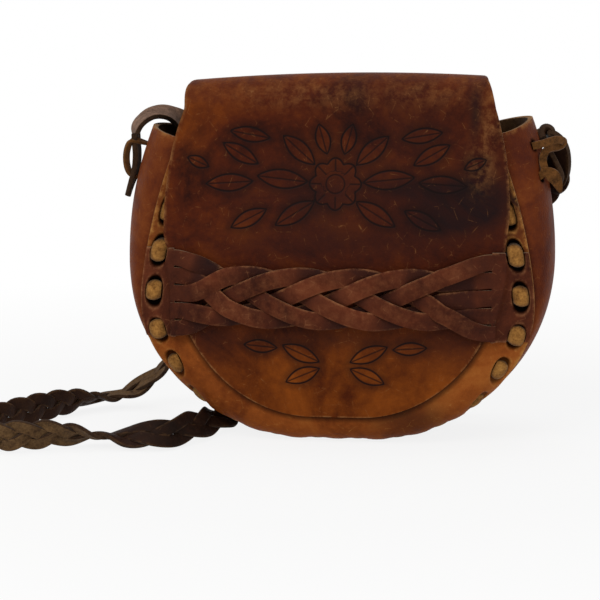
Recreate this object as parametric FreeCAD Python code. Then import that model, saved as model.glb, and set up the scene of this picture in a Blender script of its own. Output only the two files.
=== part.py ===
"""Saddle handbag of laced hide, with a braided closing band and a braided shoulder strap.

Millimetres. The bag stands on its base with the origin under its middle, front towards -Y, +Z up.
"""
import FreeCAD, Part
import math
import os

from FreeCAD import Vector

# Hide and the air left between leather faces
HIDE = 3.0               # thickness of panels, gusset and flap
SEAM_GAP = 0.1           # between a panel and the gusset flange it is laced to
FLAP_GAP = 0.5           # between the front panel and the flap that lies on it
BAND_GAP = 0.4           # between the flap and the band that holds it
BAND_SEAT_GAP = 0.3      # between the front panel and the band's plates
FOLD_GAP = 0.2           # between the lengths of hide that meet at a fold of the flap
FACET_FIT = 0.001        # tolerance at which flat facets are joined into one skin

# Bag body
DEPTH = 66.0             # gusset, from seam plane to seam plane
BASE_HALF = 20.0         # half the level stretch that the bag stands on
BELLY_HALF = 118.0       # half the width of the panels at their widest
BELLY_Z = 95.0           # height of that width
PANEL_TOP = 187.0
PANEL_TOP_HALF = 107.0
GUSSET_TOP = 191.0
FLANGE = 16.0            # width of the gusset's turned edges
SWELL = 10.0             # how far the gusset stands out past the panels at its widest
SWELL_RISE = 15.0        # how much higher its widest point lies at mid depth
SWELL_TOP = 10.5         # how far its ears stand out past the panels
SWELL_STRIPS = 6         # lengthwise strips that its round section is made of
LINING_STRIPS = 4        # the same on its inner face
BASE_CHORDS = 1          # flat lengths round half of its base, its lower corner and its side
CORNER_CHORDS = 10
SIDE_CHORDS = 4

# Dome that wear has pushed out of the front panel
DOME = 8.0
DOME_MARGIN = 16.0       # flat rim between the dome and the panel's edge
DOME_COLUMNS = 10        # flat facets across and up the dome
DOME_ROWS = 9

# Flap
FLAP_TOP = 216.0
FOLD_R = 16.0            # outer radius of the two soft folds
FLAP_NECK_HALF = 91.0    # half the width at the folds
FLAP_HALF = 102.0        # half the greatest width
FLAP_HALF_Z = 115.0
TONGUE_Z = 18.0          # lowest point of the tongue
TONGUE_HALF = 14.0       # half the level stretch of its tip

# Lacing
STITCHES_PER_SIDE = 10
STITCH_PITCH = 24.0
STITCH_BITE = 10.8       # between the two holes under one stitch
SEAM_INSET = 8.0         # row of holes from the panel's edge
HOLE_ACROSS = 10.8       # six-sided holes, longer across the seam than along it
HOLE_ALONG = 7.2
HOLE_STRAIGHT = 6.8      # length of their two straight sides
LACE_W = 8.2
LACE_T = 3.2
LACE_REST = 0.3          # air between the lace and the leather under it
LACE_SHOULDER = 0.5      # height of a stitch's ends over the leather
LACE_CROWN = 4.4         # height of its middle
LACE_PINCH = 0.3         # how much thinner and, on each side, narrower the lace is on the inside
LACE_TAIL = 11.0

# Braided closing band
BAND_T = 2.4
BAND_LOW = 65.0          # lower edge of its end plates
BAND_HIGH = 118.0
BAND_STATIONS = (0.0, 0.3, 0.65, 1.0)  # shares of the plates' height where their step is set
STEP_CLEAR = 0.4         # between the flap's edge and the step up on to it
STEP_RUN = 2.3           # length of that step
STEP_LEVEL = 1.5         # least length of the raised lip inside it
SLIT_LEFT = -95.0        # where the slits begin
SLIT_RIGHT = 91.0
BAND_STITCHES = (5, 6, 7)
STRANDS = 5
STRAND_SLOT = 10.5       # strand spacing at the slits
STRAND_END_W = 10.0
STRAND_W = 7.4           # strand width in the braid, where it is drawn narrow
BRAID_Z = 91.0
BRAID_LEFT = -80.0       # where the strands start to cross
BRAID_RIGHT = 66.0
BRAID_HALF = 13.0        # half the sideways travel of a strand's middle
BRAID_LIFT = 2.9         # half the height between strands that cross
BRAID_STEEP = 2.2        # how quickly a strand changes from over to under
LIFT_SHARE = 0.45        # share of a strand's way into the braid on which it rises, before it closes in
STRAND_STATIONS = 28

# Strap ends and the thongs that tie them to the ears
TAB_GAP = 4.0            # the thong holds the strap's end this far off the ear
TAB_T = 3.0
TAB_W = 15.0
TAB_TAIL_W = 5.0
TAB_TAIL_Z = 143.0       # tip of the tail that hangs below the knot
TAB_TAPER_Z = 153.0
TAB_TOP_LEFT = 190.0
TAB_TOP_RIGHT = 177.0
TIES_LEFT = (177.0, 157.0)   # heights of the two holes in each ear
TIES_RIGHT = (171.0, 153.0)
TIE_HOLE_R = 3.2
TIE_HOLE_SIDES = 8
TIE_W = 4.4
TIE_T = 2.0
TIE_REST = 0.3

# Braided shoulder strap: its section, and its route from the left ear to the right one.
# Each point has the direction of the strap's width there. Its ends are flat, not braided.
STRAP_W = 18.0
STRAP_T = 6.0
STRAP_FLAT_POINTS = 5
ARC_STEP = math.radians(30.0)
ARC_SHARE = 0.45
STRAP_ROUTE = (
    ((-121.4, 0.4, 198.5), (0, 1, 0)),
    ((-117.0, 5.0, 204.0), (0.3, 1, 0)),
    ((-111.0, 15.0, 206.0), (0.7, 1, 0)),
    ((-107.0, 29.0, 205.0), (1, 0.5, 0)),
    ((-105.0, 42.5, 195.0), (1, 0.15, 0)),
    ((-102.0, 45.5, 172.0), (1, 0, 0)),
    ((-99.0, 44.0, 122.0), (1, 0, 0)),
    ((-100.0, 45.0, 75.0), (1, 0, 0.2)),
    ((-105.0, 46.0, 40.0), (0.8, 0, 0.5)),
    ((-124.0, 48.0, 21.0), (0.3, 0.5, 0.7)),
    ((-150.0, 49.0, 12.5), (0, 0.6, 0.8)),
    ((-176.0, 41.0, 9.8), (0, 0.2, 1)),
    ((-197.0, 18.0, 9.4), (0, 0, 1)),
    ((-213.0, -14.0, 9.4), (0, 0, 1)),
    ((-222.0, -44.0, 9.4), (0, 0, 1)),
    ((-214.0, -70.0, 9.4), (0, 0, 1)),
    ((-190.0, -76.0, 9.8), (0, 0.2, 1)),
    ((-164.0, -60.0, 10.8), (0.1, 0.5, 0.8)),
    ((-138.0, -42.0, 8.0), (0.2, 0.9, 0.2)),
    ((-112.0, -39.0, 8.4), (0, 0.9, 0.3)),
    ((-93.0, -31.0, 10.4), (-0.3, 0.3, 0.9)),
    ((-82.0, -8.0, 9.8), (-0.7, 0, 0.7)),
    ((-75.0, 20.0, 7.6), (-0.92, 0, 0.38)),
    ((-71.0, 43.0, 8.2), (-0.92, 0, 0.38)),
    ((-54.0, 58.0, 10.8), (-0.4, 0, 0.9)),
    ((-26.0, 60.0, 9.8), (0, 0, 1)),
    ((4.0, 57.0, 9.4), (0, 0, 1)),
    ((44.0, 54.0, 11.0), (0, 0, 1)),
    ((78.0, 52.0, 26.0), (-0.5, 0, 0.8)),
    ((100.0, 51.0, 60.0), (-0.9, 0, 0.5)),
    ((109.0, 50.0, 98.0), (-1, 0, 0.2)),
    ((117.0, 46.0, 128.0), (-0.9, 0.5, 0.2)),
    ((128.0, 33.0, 146.0), (-0.6, 0.9, 0.2)),
    ((139.0, 14.0, 157.0), (-0.2, 1, 0.1)),
    ((142.0, 4.0, 169.0), (0, 1, 0)),
    ((140.0, 2.0, 180.0), (0, 1, 0)),
    ((134.5, 1.0, 187.5), (0, 1, 0)),
    ((127.5, 0.4, 188.5), (0, 1, 0)),
    ((124.6, 0.0, 185.0), (0, 1, 0)),
)

# Places that follow from the sizes above
SEAM_Y = DEPTH / 2
PANEL_IN = SEAM_Y + SEAM_GAP                 # panel's inner face, from mid depth
PANEL_OUT = PANEL_IN + HIDE
FLAP_IN = PANEL_OUT + FLAP_GAP
FLAP_OUT = FLAP_IN + HIDE
FOLD_Z = FLAP_TOP - FOLD_R
REAR_FOLD_Y = PANEL_OUT - FOLD_R
FRONT_FOLD_Y = FOLD_R - FLAP_OUT
FOLD_MIDDLE = math.radians(45.0)
FOLD_HALF_GAP = FOLD_GAP / 2 / FOLD_R        # as an angle
DOME_HALF = BELLY_HALF - DOME_MARGIN
CREST_HALF = BELLY_HALF + SWELL
CREST_Z = BELLY_Z + SWELL_RISE
CREST_TOP_HALF = PANEL_TOP_HALF + SWELL_TOP


def side_radius(half, z_half, top_half, top):
    """Radius of the side that leaves the widest point upright and closes to the top."""
    inward = half - top_half
    rise = top - z_half
    return (rise ** 2 + inward ** 2) / (2 * inward)


def quarter(foot, corner, side):
    """Quarter of an ellipse from foot to side, inside their corner."""
    curve = Part.BezierCurve()
    curve.setPoles([foot, corner, side])
    curve.setWeight(2, math.sqrt(0.5))
    return curve.toShape()


def right_side(y, z0, base_half, half, z_half, top_half, top):
    """Edges of the right half of a D, from the middle of its base to its top corner."""
    foot = Vector(base_half, y, z0)
    widest = Vector(half, y, z_half)
    r = side_radius(half, z_half, top_half, top)
    turn = math.asin((top - z_half) / r)
    middle = Vector(half - r + r * math.cos(turn / 2), y, z_half + r * math.sin(turn / 2))
    return [
        Part.makeLine(Vector(0, y, z0), foot),
        quarter(foot, Vector(half, y, z0), widest),
        Part.Arc(widest, middle, Vector(top_half, y, top)).toShape(),
    ]


def mirrored(edges):
    return [edge.mirror(Vector(0, 0, 0), Vector(1, 0, 0)) for edge in edges]


def d_wire(y, *sizes, neck=()):
    """Closed D in the plane of y; neck adds (half width, height) corners above its sides."""
    half = right_side(y, *sizes)
    corners = [Vector(sizes[-2], y, sizes[-1])] + [Vector(x, y, z) for x, z in neck]
    for low, high in zip(corners, corners[1:]):
        half.append(Part.makeLine(low, high))
    last = corners[-1]
    lid = Part.makeLine(last, Vector(-last.x, y, last.z))
    return Part.Wire(Part.__sortEdges__(half + [lid] + mirrored(half)))


def d_prism(y0, y1, *sizes, neck=()):
    return Part.Face(d_wire(y0, *sizes, neck=neck)).extrude(Vector(0, y1 - y0, 0))


PANEL_D = (0.0, BASE_HALF, BELLY_HALF, BELLY_Z, PANEL_TOP_HALF, PANEL_TOP)
FLAP_D = (TONGUE_Z, TONGUE_HALF, FLAP_HALF, FLAP_HALF_Z, FLAP_NECK_HALF, FOLD_Z)


def dome(x, z):
    """How far the front panel stands forward at x, z."""
    half, low, high = DOME_HALF, DOME_MARGIN, PANEL_TOP
    u = min(1.0, abs(x) / half)
    v = min(1.0, abs(2 * z - high - low) / (high - low))
    return DOME * (1 - u ** 2) ** 2 * (1 - v ** 2) ** 2


def skin(rings):
    """Solid through rings of corners, in flat triangles so that it can swell and twist."""
    faces = [Part.Face(Part.makePolygon(ring + ring[:1])) for ring in (rings[0], rings[-1])]
    for near, far in zip(rings, rings[1:]):
        for i in range(len(near)):
            j = (i + 1) % len(near)
            for corners in ([near[i], near[j], far[j]], [near[i], far[j], far[i]]):
                faces.append(Part.Face(Part.makePolygon(corners + corners[:1])))
    solid = Part.Solid(Part.Shell(faces))
    solid.fix(FACET_FIT, FACET_FIT, FACET_FIT)
    return solid


def domed_hide(inner_y, outline):
    """Hide that follows the front panel's dome, with its flat rim's inner face at -inner_y."""
    rings = []
    for row in range(DOME_ROWS + 1):
        z = DOME_MARGIN + (PANEL_TOP - DOME_MARGIN) * row / DOME_ROWS
        columns = [DOME_HALF * (2 * i / DOME_COLUMNS - 1) for i in range(DOME_COLUMNS + 1)]
        inner = [Vector(x, -inner_y - dome(x, z), z) for x in columns]
        outer = [p - Vector(0, HIDE, 0) for p in reversed(inner)]
        rings.append(inner + outer)
    corner = Vector(-DOME_HALF, -inner_y - HIDE, DOME_MARGIN)
    window = Part.makeBox(2 * DOME_HALF, HIDE, PANEL_TOP - DOME_MARGIN, corner)
    sheet = outline.common(Part.makeBox(2 * CREST_HALF, HIDE, 2 * FLAP_TOP,
                                        Vector(-CREST_HALF, -inner_y - HIDE, -FLAP_TOP)))
    return sheet.cut(window).fuse(skin(rings).common(outline)).removeSplitter()


def sector(y, z, r0, r1, a0, a1, half):
    """Length of hide bent about the X axis through y, z, from angle a0 to a1 measured from +Y."""
    def at(r, a):
        return Vector(-half, y + r * math.cos(a), z + r * math.sin(a))
    middle = (a0 + a1) / 2
    edges = [
        Part.Arc(at(r1, a0), at(r1, middle), at(r1, a1)).toShape(),
        Part.makeLine(at(r1, a1), at(r0, a1)),
        Part.Arc(at(r0, a1), at(r0, middle), at(r0, a0)).toShape(),
        Part.makeLine(at(r0, a0), at(r1, a0)),
    ]
    return Part.Face(Part.Wire(edges)).extrude(Vector(2 * half, 0, 0))


def stitch_row():
    """Middle and direction of each stitch, from the left top round the base to the right top."""
    row_sizes = (SEAM_INSET, BASE_HALF, BELLY_HALF - SEAM_INSET, BELLY_Z,
                 PANEL_TOP_HALF - SEAM_INSET, PANEL_TOP)
    right = []
    for k in range(STITCHES_PER_SIDE):
        along = (k + 0.5) * STITCH_PITCH
        for edge in right_side(0, *row_sizes):
            if along <= edge.Length:
                u = edge.getParameterByLength(along)
                right.append((edge.valueAt(u), edge.tangentAt(u)))
                break
            along -= edge.Length
    left = [(Vector(-p.x, 0, p.z), Vector(d.x, 0, -d.z)) for p, d in reversed(right)]
    return left + right


def stitch_holes(stitch):
    middle, along = stitch
    return middle - along * (STITCH_BITE / 2), middle + along * (STITCH_BITE / 2)


def lace_holes(side):
    """Punches for every hole of the seam at side -1 (front) or 1 (back)."""
    punches = []
    reach = HIDE + BAND_T + LACE_CROWN
    tip, shoulder, half = HOLE_ACROSS / 2, HOLE_STRAIGHT / 2, HOLE_ALONG / 2
    outline = [(0, tip), (half, shoulder), (half, -shoulder), (0, -tip), (-half, -shoulder), (-half, shoulder)]
    for stitch in stitch_row():
        along = stitch[1]
        across = Vector(-along.z, 0, along.x)
        for hole in stitch_holes(stitch):
            start = hole + Vector(0, side * SEAM_Y - reach, 0)
            corners = [start + along * a + across * b for a, b in outline]
            punches.append(Part.Face(Part.makePolygon(corners + corners[:1])).extrude(Vector(0, 2 * reach, 0)))
    return Part.makeCompound(punches)


def lace_run(side, start, along, profile, width, crown=None):
    """Lace of a width, bent to profile: (distance along, height over the seam plane) from start.

    With crown, the profile's second and third corners are joined by an arc through that point.
    """
    across = Vector(-along.z, 0, along.x)

    def at(a, h):
        return start + along * a + Vector(0, side * (SEAM_Y + h), 0) - across * (width / 2)
    points = [at(a, h) for a, h in profile]
    edges = [Part.makeLine(p, q) for p, q in zip(points, points[1:] + points[:1])]
    if crown:
        edges[1] = Part.Arc(points[1], at(*crown), points[2]).toShape()
    return Part.Face(Part.Wire(edges)).extrude(across * width)


def seam_lace(side):
    """One lace in running stitch along a whole seam, with a short tail inside each end."""
    foot_out = (STITCH_BITE + LACE_T) / 2
    foot_in = (STITCH_BITE - LACE_T) / 2
    inside = -HIDE - LACE_REST
    deep = inside - LACE_T
    row = stitch_row()
    first_right = STITCHES_PER_SIDE
    runs = []
    for i, (middle, along) in enumerate(row):
        k = i - first_right if i >= first_right else first_right - 1 - i
        banded = side < 0 and k in BAND_STITCHES
        face = SEAM_GAP + HIDE + (BAND_SEAT_GAP + BAND_T if banded else 0.0)
        shoulder = face + LACE_SHOULDER
        under = face + LACE_REST
        stitch = [(-foot_out, deep), (-foot_out, shoulder), (foot_out, shoulder), (foot_out, deep),
                  (foot_in, deep), (foot_in, under), (-foot_in, under), (-foot_in, deep)]
        runs.append(lace_run(side, middle, along, stitch, LACE_W, crown=(0, face + LACE_CROWN)))
    starts = [stitch_holes(stitch)[1] for stitch in row[:-1]]
    reaches = [stitch_holes(stitch)[0] - start for stitch, start in zip(row[1:], starts)]
    starts += [stitch_holes(row[0])[0], stitch_holes(row[-1])[1]]
    reaches += [row[0][1] * -LACE_TAIL, row[-1][1] * LACE_TAIL]
    for start, reach in zip(starts, reaches):
        length = reach.Length
        hidden = [(0, deep + LACE_PINCH), (length, deep + LACE_PINCH), (length, inside), (0, inside)]
        runs.append(lace_run(side, start, reach.normalize(), hidden, LACE_W - 2 * LACE_PINCH))
    return runs[0].fuse(runs[1:]).removeSplitter()


def gusset_ring(share, half_depth, inset, top):
    """Corners of the gusset wall's outer face (inset 0) or inner face at a share of its half depth."""
    f = math.sqrt(max(0.0, 1 - share ** 2))
    sizes = (inset, BASE_HALF, BELLY_HALF + SWELL * f - inset, BELLY_Z + SWELL_RISE * f,
             PANEL_TOP_HALF + SWELL_TOP * f - inset, top)
    right = []
    edges = right_side(share * half_depth, *sizes)
    for edge, chords in zip(edges, (BASE_CHORDS, CORNER_CHORDS, SIDE_CHORDS)):
        right += edge.discretize(Number=chords + 1)[1:]
    return right + [Vector(-p.x, p.y, p.z) for p in reversed(right)]


def round_shares(strips):
    """Shares of the half depth, from -1 to 1, at equal angles round the half tube."""
    return [-math.cos(math.pi * i / strips) for i in range(strips + 1)]


def gusset():
    """Side and bottom wall, swelling like half a tube, open at the top between its ears."""
    outer = skin([gusset_ring(share, SEAM_Y, 0.0, GUSSET_TOP) for share in round_shares(SWELL_STRIPS)])
    inner = skin([gusset_ring(share, SEAM_Y - HIDE, HIDE, GUSSET_TOP + HIDE)
                  for share in round_shares(LINING_STRIPS)])
    window = d_prism(-SEAM_Y - HIDE, SEAM_Y + HIDE, FLANGE, BASE_HALF, BELLY_HALF - FLANGE, BELLY_Z,
                     PANEL_TOP_HALF - FLANGE, GUSSET_TOP + HIDE)
    wall = outer.cut(inner).cut(window).removeSplitter()
    wall = wall.cut(lace_holes(-1)).cut(lace_holes(1))
    return wall.cut(tie_holes(-1)).cut(tie_holes(1))


def front_panel():
    return domed_hide(PANEL_IN, d_prism(-SEAM_Y - FOLD_R * 2, 0, *PANEL_D)).cut(lace_holes(-1))


def back_panel():
    """Back of the hide, up to the middle of the rear fold."""
    sheet = d_prism(PANEL_IN, PANEL_OUT, *PANEL_D, neck=((FLAP_NECK_HALF, FOLD_Z),))
    bend = sector(REAR_FOLD_Y, FOLD_Z, FOLD_R - HIDE, FOLD_R, 0.0, FOLD_MIDDLE - FOLD_HALF_GAP,
                  FLAP_NECK_HALF)
    return sheet.cut(lace_holes(1)).fuse(bend).removeSplitter()


def flap_top():
    """Hide over the mouth, from the middle of the rear fold to the middle of the front fold."""
    upright = math.pi / 2
    rear = sector(REAR_FOLD_Y, FOLD_Z, FOLD_R - HIDE, FOLD_R, FOLD_MIDDLE + FOLD_HALF_GAP, upright,
                  FLAP_NECK_HALF)
    front = sector(FRONT_FOLD_Y, FOLD_Z, FOLD_R - HIDE, FOLD_R, upright,
                   math.pi - FOLD_MIDDLE - FOLD_HALF_GAP, FLAP_NECK_HALF)
    level = Part.makeBox(2 * FLAP_NECK_HALF, REAR_FOLD_Y - FRONT_FOLD_Y, HIDE,
                         Vector(-FLAP_NECK_HALF, FRONT_FOLD_Y, FLAP_TOP - HIDE))
    return level.fuse([rear, front]).removeSplitter()


def flap_front():
    """Hanging part of the flap with its round tongue, lying on the domed front panel."""
    sheet = domed_hide(FLAP_IN, d_prism(-SEAM_Y - FOLD_R * 2, 0, *FLAP_D))
    bend = sector(FRONT_FOLD_Y, FOLD_Z, FOLD_R - HIDE, FOLD_R, math.pi - FOLD_MIDDLE + FOLD_HALF_GAP,
                  math.pi, FLAP_NECK_HALF)
    return sheet.fuse(bend).removeSplitter()


def flap_edge(z):
    """Half the flap's width at height z on its round tongue or its side."""
    if z < FLAP_HALF_Z:
        drop = (FLAP_HALF_Z - z) / (FLAP_HALF_Z - TONGUE_Z)
        return TONGUE_HALF + (FLAP_HALF - TONGUE_HALF) * math.sqrt(1 - drop ** 2)
    r = side_radius(FLAP_HALF, FLAP_HALF_Z, FLAP_NECK_HALF, FOLD_Z)
    return FLAP_HALF - r * (1 - math.sqrt(1 - ((z - FLAP_HALF_Z) / r) ** 2))


def band_end(side):
    """Plate of the closing band: laced on the panel's edge, stepping up on to the flap."""
    slit = SLIT_LEFT if side < 0 else SLIT_RIGHT
    seat = -PANEL_OUT - BAND_SEAT_GAP
    raised = -FLAP_OUT - BAND_GAP - dome(slit, BRAID_Z)
    rings = []
    for share in BAND_STATIONS:
        z = BAND_LOW + (BAND_HIGH - BAND_LOW) * share
        lip = max(flap_edge(z) + STEP_CLEAR, abs(slit) + STEP_LEVEL)
        under = [(side * BELLY_HALF, seat), (side * (lip + STEP_RUN), seat), (side * lip, raised),
                 (slit, raised)]
        over = [(x, y - BAND_T) for x, y in reversed(under)]
        rings.append([Vector(x, y, z) for x, y in under + over])
    trimmed = skin(rings).removeSplitter().common(d_prism(-SEAM_Y - FOLD_R * 2, 0, *PANEL_D))
    return trimmed.cut(lace_holes(-1))


def ease(share):
    """Smooth step from 0 to 1."""
    t = min(1.0, max(0.0, share))
    return t * t * (3 - 2 * t)


def strand_place(x, start_phase, slot_z):
    """Middle height z, lift over the flap and width of a strand at x.

    In the braid a strand swings from edge to edge once; it lies over the others while it moves
    outwards and under them while it moves back in.
    """
    run = min(1.0, max(0.0, (x - BRAID_LEFT) / (BRAID_RIGHT - BRAID_LEFT)))
    phase = start_phase + 2 * math.pi * run
    entry = min((x - SLIT_LEFT) / (BRAID_LEFT - SLIT_LEFT), (SLIT_RIGHT - x) / (SLIT_RIGHT - BRAID_RIGHT))
    parted = ease(entry / LIFT_SHARE)
    gathered = ease((entry - LIFT_SHARE) / (1 - LIFT_SHARE))
    z = slot_z + (BRAID_Z + BRAID_HALF * math.sin(phase) - slot_z) * gathered
    over = math.tanh(BRAID_STEEP * math.sin(2 * phase)) / math.tanh(BRAID_STEEP)
    lift = BRAID_LIFT * (1 + over) * parted
    return z, lift, STRAND_END_W + (STRAND_W - STRAND_END_W) * parted


def band_strand(number):
    """One of the strands that the band is slit into, braided with the others."""
    phase = 2 * math.pi * number / STRANDS
    order = sorted(range(STRANDS), key=lambda n: math.sin(2 * math.pi * n / STRANDS))
    middle_slot = (STRANDS - 1) / 2
    slot_z = (BAND_LOW + BAND_HIGH) / 2 + (order.index(number) - middle_slot) * STRAND_SLOT
    step = (SLIT_RIGHT - SLIT_LEFT) / STRAND_STATIONS
    rings = []
    for i in range(STRAND_STATIONS + 1):
        x = SLIT_LEFT + i * step
        z, lift, width = strand_place(x, phase, slot_z)
        inside = 0 < i < STRAND_STATIONS
        ahead, behind = (strand_place(x + d, phase, slot_z)[0] for d in (step / 2, -step / 2))
        rise = ahead - behind if inside else 0.0
        across = Vector(-rise, 0, step).normalize() * (width / 2)
        under = Vector(x, -FLAP_OUT - BAND_GAP - dome(x, BRAID_Z) - lift, z)
        over = under + Vector(0, -BAND_T, 0)
        rings.append([under - across, under + across, over + across, over - across])
    return skin(rings)


def crest(side, r_out, z):
    """Point of the gusset's middle line at height z, r_out over its outer face, and its angle."""
    r = side_radius(CREST_HALF, CREST_Z, CREST_TOP_HALF, GUSSET_TOP)
    turn = math.asin((z - CREST_Z) / r)
    return Vector(side * (CREST_HALF - r + (r + r_out) * math.cos(turn)), 0,
                  CREST_Z + (r + r_out) * math.sin(turn)), turn


def crest_sheet(side, out0, out1, z0, z1, width):
    """Strip that follows the gusset's middle line, between two distances from its outer face."""
    def at(out, z):
        return crest(side, out, z)[0] - Vector(0, width / 2, 0)
    middle = (z0 + z1) / 2
    edges = [
        Part.Arc(at(out1, z0), at(out1, middle), at(out1, z1)).toShape(),
        Part.makeLine(at(out1, z1), at(out0, z1)),
        Part.Arc(at(out0, z1), at(out0, middle), at(out0, z0)).toShape(),
        Part.makeLine(at(out0, z0), at(out1, z0)),
    ]
    return Part.Face(Part.Wire(edges)).extrude(Vector(0, width, 0))


def tie_heights(side):
    return TIES_LEFT if side < 0 else TIES_RIGHT


def tie_holes(side):
    """Punches through a strap end and its ear, square to the gusset."""
    punches = []
    for z in tie_heights(side):
        inside, turn = crest(side, -HIDE * 2, z)
        reach = crest(side, TAB_GAP + TAB_T * 2, z)[0] - inside
        upward = Vector(-side * math.sin(turn), 0, math.cos(turn))
        corners = []
        for i in range(TIE_HOLE_SIDES + 1):
            a = 2 * math.pi * (i + 0.5) / TIE_HOLE_SIDES
            corners.append(inside + (upward * math.cos(a) + Vector(0, math.sin(a), 0)) * TIE_HOLE_R)
        punches.append(Part.Face(Part.makePolygon(corners)).extrude(reach))
    return Part.makeCompound(punches)


def strap_tab(side):
    """Flat end of the shoulder strap, against the ear, with a tapered tail."""
    top = TAB_TOP_LEFT if side < 0 else TAB_TOP_RIGHT
    sheet = crest_sheet(side, TAB_GAP, TAB_GAP + TAB_T, TAB_TAIL_Z, top, TAB_W)
    outline = [(TAB_TAIL_W / 2, TAB_TAIL_Z - TAB_T), (TAB_W / 2, TAB_TAPER_Z), (TAB_W / 2, top + TAB_T)]
    outline += [(-y, z) for y, z in reversed(outline)]
    corners = [Vector(0, y, z) for y, z in outline]
    reach = Vector(side * CREST_HALF * 2, 0, 0)
    sheet = sheet.common(Part.Face(Part.makePolygon(corners + corners[:1])).extrude(reach))
    return sheet.cut(tie_holes(side))


def tie(side):
    """Thong through both holes, closed inside the ear."""
    inside = -HIDE - TIE_REST
    outside = TAB_GAP + TAB_T + TIE_REST
    half_t = TIE_T / 2
    high, low = tie_heights(side)
    ring = crest_sheet(side, inside - TIE_T, outside + TIE_T, low - half_t, high + half_t, TIE_W)
    return ring.cut(crest_sheet(side, inside, outside, low + half_t, high - half_t, TIE_W * 2))


def strap_stations():
    """Place, direction, width direction and section of the strap along straight runs and arcs."""
    start, start_turn = crest(-1, TAB_GAP + TAB_T / 2, TAB_TOP_LEFT)
    end, end_turn = crest(1, TAB_GAP + TAB_T / 2, TAB_TOP_RIGHT)
    points = [start] + [Vector(*p) for p, w in STRAP_ROUTE] + [end]
    widths = [Vector(0, 1, 0)] + [Vector(*w).normalize() for p, w in STRAP_ROUTE] + [Vector(0, 1, 0)]
    stations = [(start, Vector(math.sin(start_turn), 0, math.cos(start_turn)), 0.0)]
    radii = []
    for i in range(1, len(points) - 1):
        before = points[i] - points[i - 1]
        after = points[i + 1] - points[i]
        trim = ARC_SHARE * min(before.Length, after.Length)
        before.normalize()
        after.normalize()
        turn = before.getAngle(after)
        r = trim / math.tan(turn / 2)
        radii.append(r)
        start = points[i] - before * trim
        inward = (after - before * before.dot(after)).normalize()
        steps = math.ceil(turn / ARC_STEP)
        for k in range(steps + 1):
            a = turn * k / steps
            place = start + before * (r * math.sin(a)) + inward * (r * (1 - math.cos(a)))
            heading = before * math.cos(a) + inward * math.sin(a)
            stations.append((place, heading, i - 0.5 + k / steps))
    stations.append((end, Vector(math.sin(end_turn), 0, -math.cos(end_turn)), len(points) - 1.0))
    return stations, widths, radii


def shoulder_strap():
    """Flat strap lofted along its route, growing from the flat ends to the braid's section."""
    stations, widths, radii = strap_stations()
    rings = []
    length = 0.0
    for n, (place, heading, share) in enumerate(stations):
        low = min(int(share), len(widths) - 2)
        mix = share - low
        across = widths[low] * (1 - mix) + widths[low + 1] * mix
        across = (across - heading * heading.dot(across)).normalize()
        through = heading.cross(across)
        braided = ease(min(share, len(widths) - 1 - share) - STRAP_FLAT_POINTS)
        half_w = across * ((TAB_W + (STRAP_W - TAB_W) * braided) / 2)
        half_t = through * ((TAB_T + (STRAP_T - TAB_T) * braided) / 2)
        corners = [place - half_w - half_t, place - half_w + half_t,
                   place + half_w + half_t, place + half_w - half_t]
        rings.append(corners)
        length += (place - stations[n - 1][0]).Length if n else 0.0
    solid = skin(rings)
    print("strap length %.0f mm, volume share %.3f" % (length, solid.Volume / (length * STRAP_W * STRAP_T)))
    print("strap radii", " ".join("%.0f" % r for r in radii))
    return solid


def pieces():
    made = {
        "front_panel": front_panel(),
        "back_panel": back_panel(),
        "flap_top": flap_top(),
        "flap_front": flap_front(),
        "gusset": gusset(),
        "front_lace": seam_lace(-1),
        "back_lace": seam_lace(1),
        "band_end_left": band_end(-1),
        "band_end_right": band_end(1),
        "strap_tab_left": strap_tab(-1),
        "strap_tab_right": strap_tab(1),
        "tie_left": tie(-1),
        "tie_right": tie(1),
        "shoulder_strap": shoulder_strap(),
    }
    for number in range(STRANDS):
        made["band_strand_%d" % (number + 1)] = band_strand(number)
    return made


os.makedirs("parts", exist_ok=True)
for node, shape in pieces().items():
    shape.exportStep("parts/%s.step" % node)
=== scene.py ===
"""Looks of a saddle handbag: laced hide, a braided closing band and a braided shoulder strap.

Sizes are in millimetres and become metres where a mesh is written. The front faces -Y, +Z is up.
"""
import math

import bpy
import numpy as np
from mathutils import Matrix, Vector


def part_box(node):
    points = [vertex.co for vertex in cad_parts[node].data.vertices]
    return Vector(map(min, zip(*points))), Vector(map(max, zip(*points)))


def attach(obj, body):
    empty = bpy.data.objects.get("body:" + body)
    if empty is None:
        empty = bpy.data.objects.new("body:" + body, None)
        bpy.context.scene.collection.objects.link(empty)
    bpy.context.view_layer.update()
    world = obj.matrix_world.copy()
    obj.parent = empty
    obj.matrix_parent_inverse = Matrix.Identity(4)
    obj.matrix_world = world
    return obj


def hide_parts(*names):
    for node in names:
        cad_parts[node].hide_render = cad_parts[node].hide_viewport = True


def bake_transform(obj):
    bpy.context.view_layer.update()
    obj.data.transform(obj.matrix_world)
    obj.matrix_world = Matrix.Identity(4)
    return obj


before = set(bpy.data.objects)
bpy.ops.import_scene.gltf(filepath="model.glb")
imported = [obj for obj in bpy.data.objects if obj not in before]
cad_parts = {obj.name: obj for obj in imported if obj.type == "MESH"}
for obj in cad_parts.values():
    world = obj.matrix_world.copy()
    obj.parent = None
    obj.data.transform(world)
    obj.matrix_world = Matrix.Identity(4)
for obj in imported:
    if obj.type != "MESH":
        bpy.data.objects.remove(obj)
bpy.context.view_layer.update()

MM = 0.001


def node_box(node):
    low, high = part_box(node)
    return np.array(low) / MM, np.array(high) / MM


def quarter_run(across, up):
    """Length of a quarter of an ellipse, near enough, from its two radii."""
    return math.pi / 2 * math.hypot(across, up) / math.sqrt(2)


def arc_radius(rise, inward):
    """Radius of an arc that starts upright and leans inward over its rise."""
    return (rise ** 2 + inward ** 2) / (2 * inward)


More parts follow.
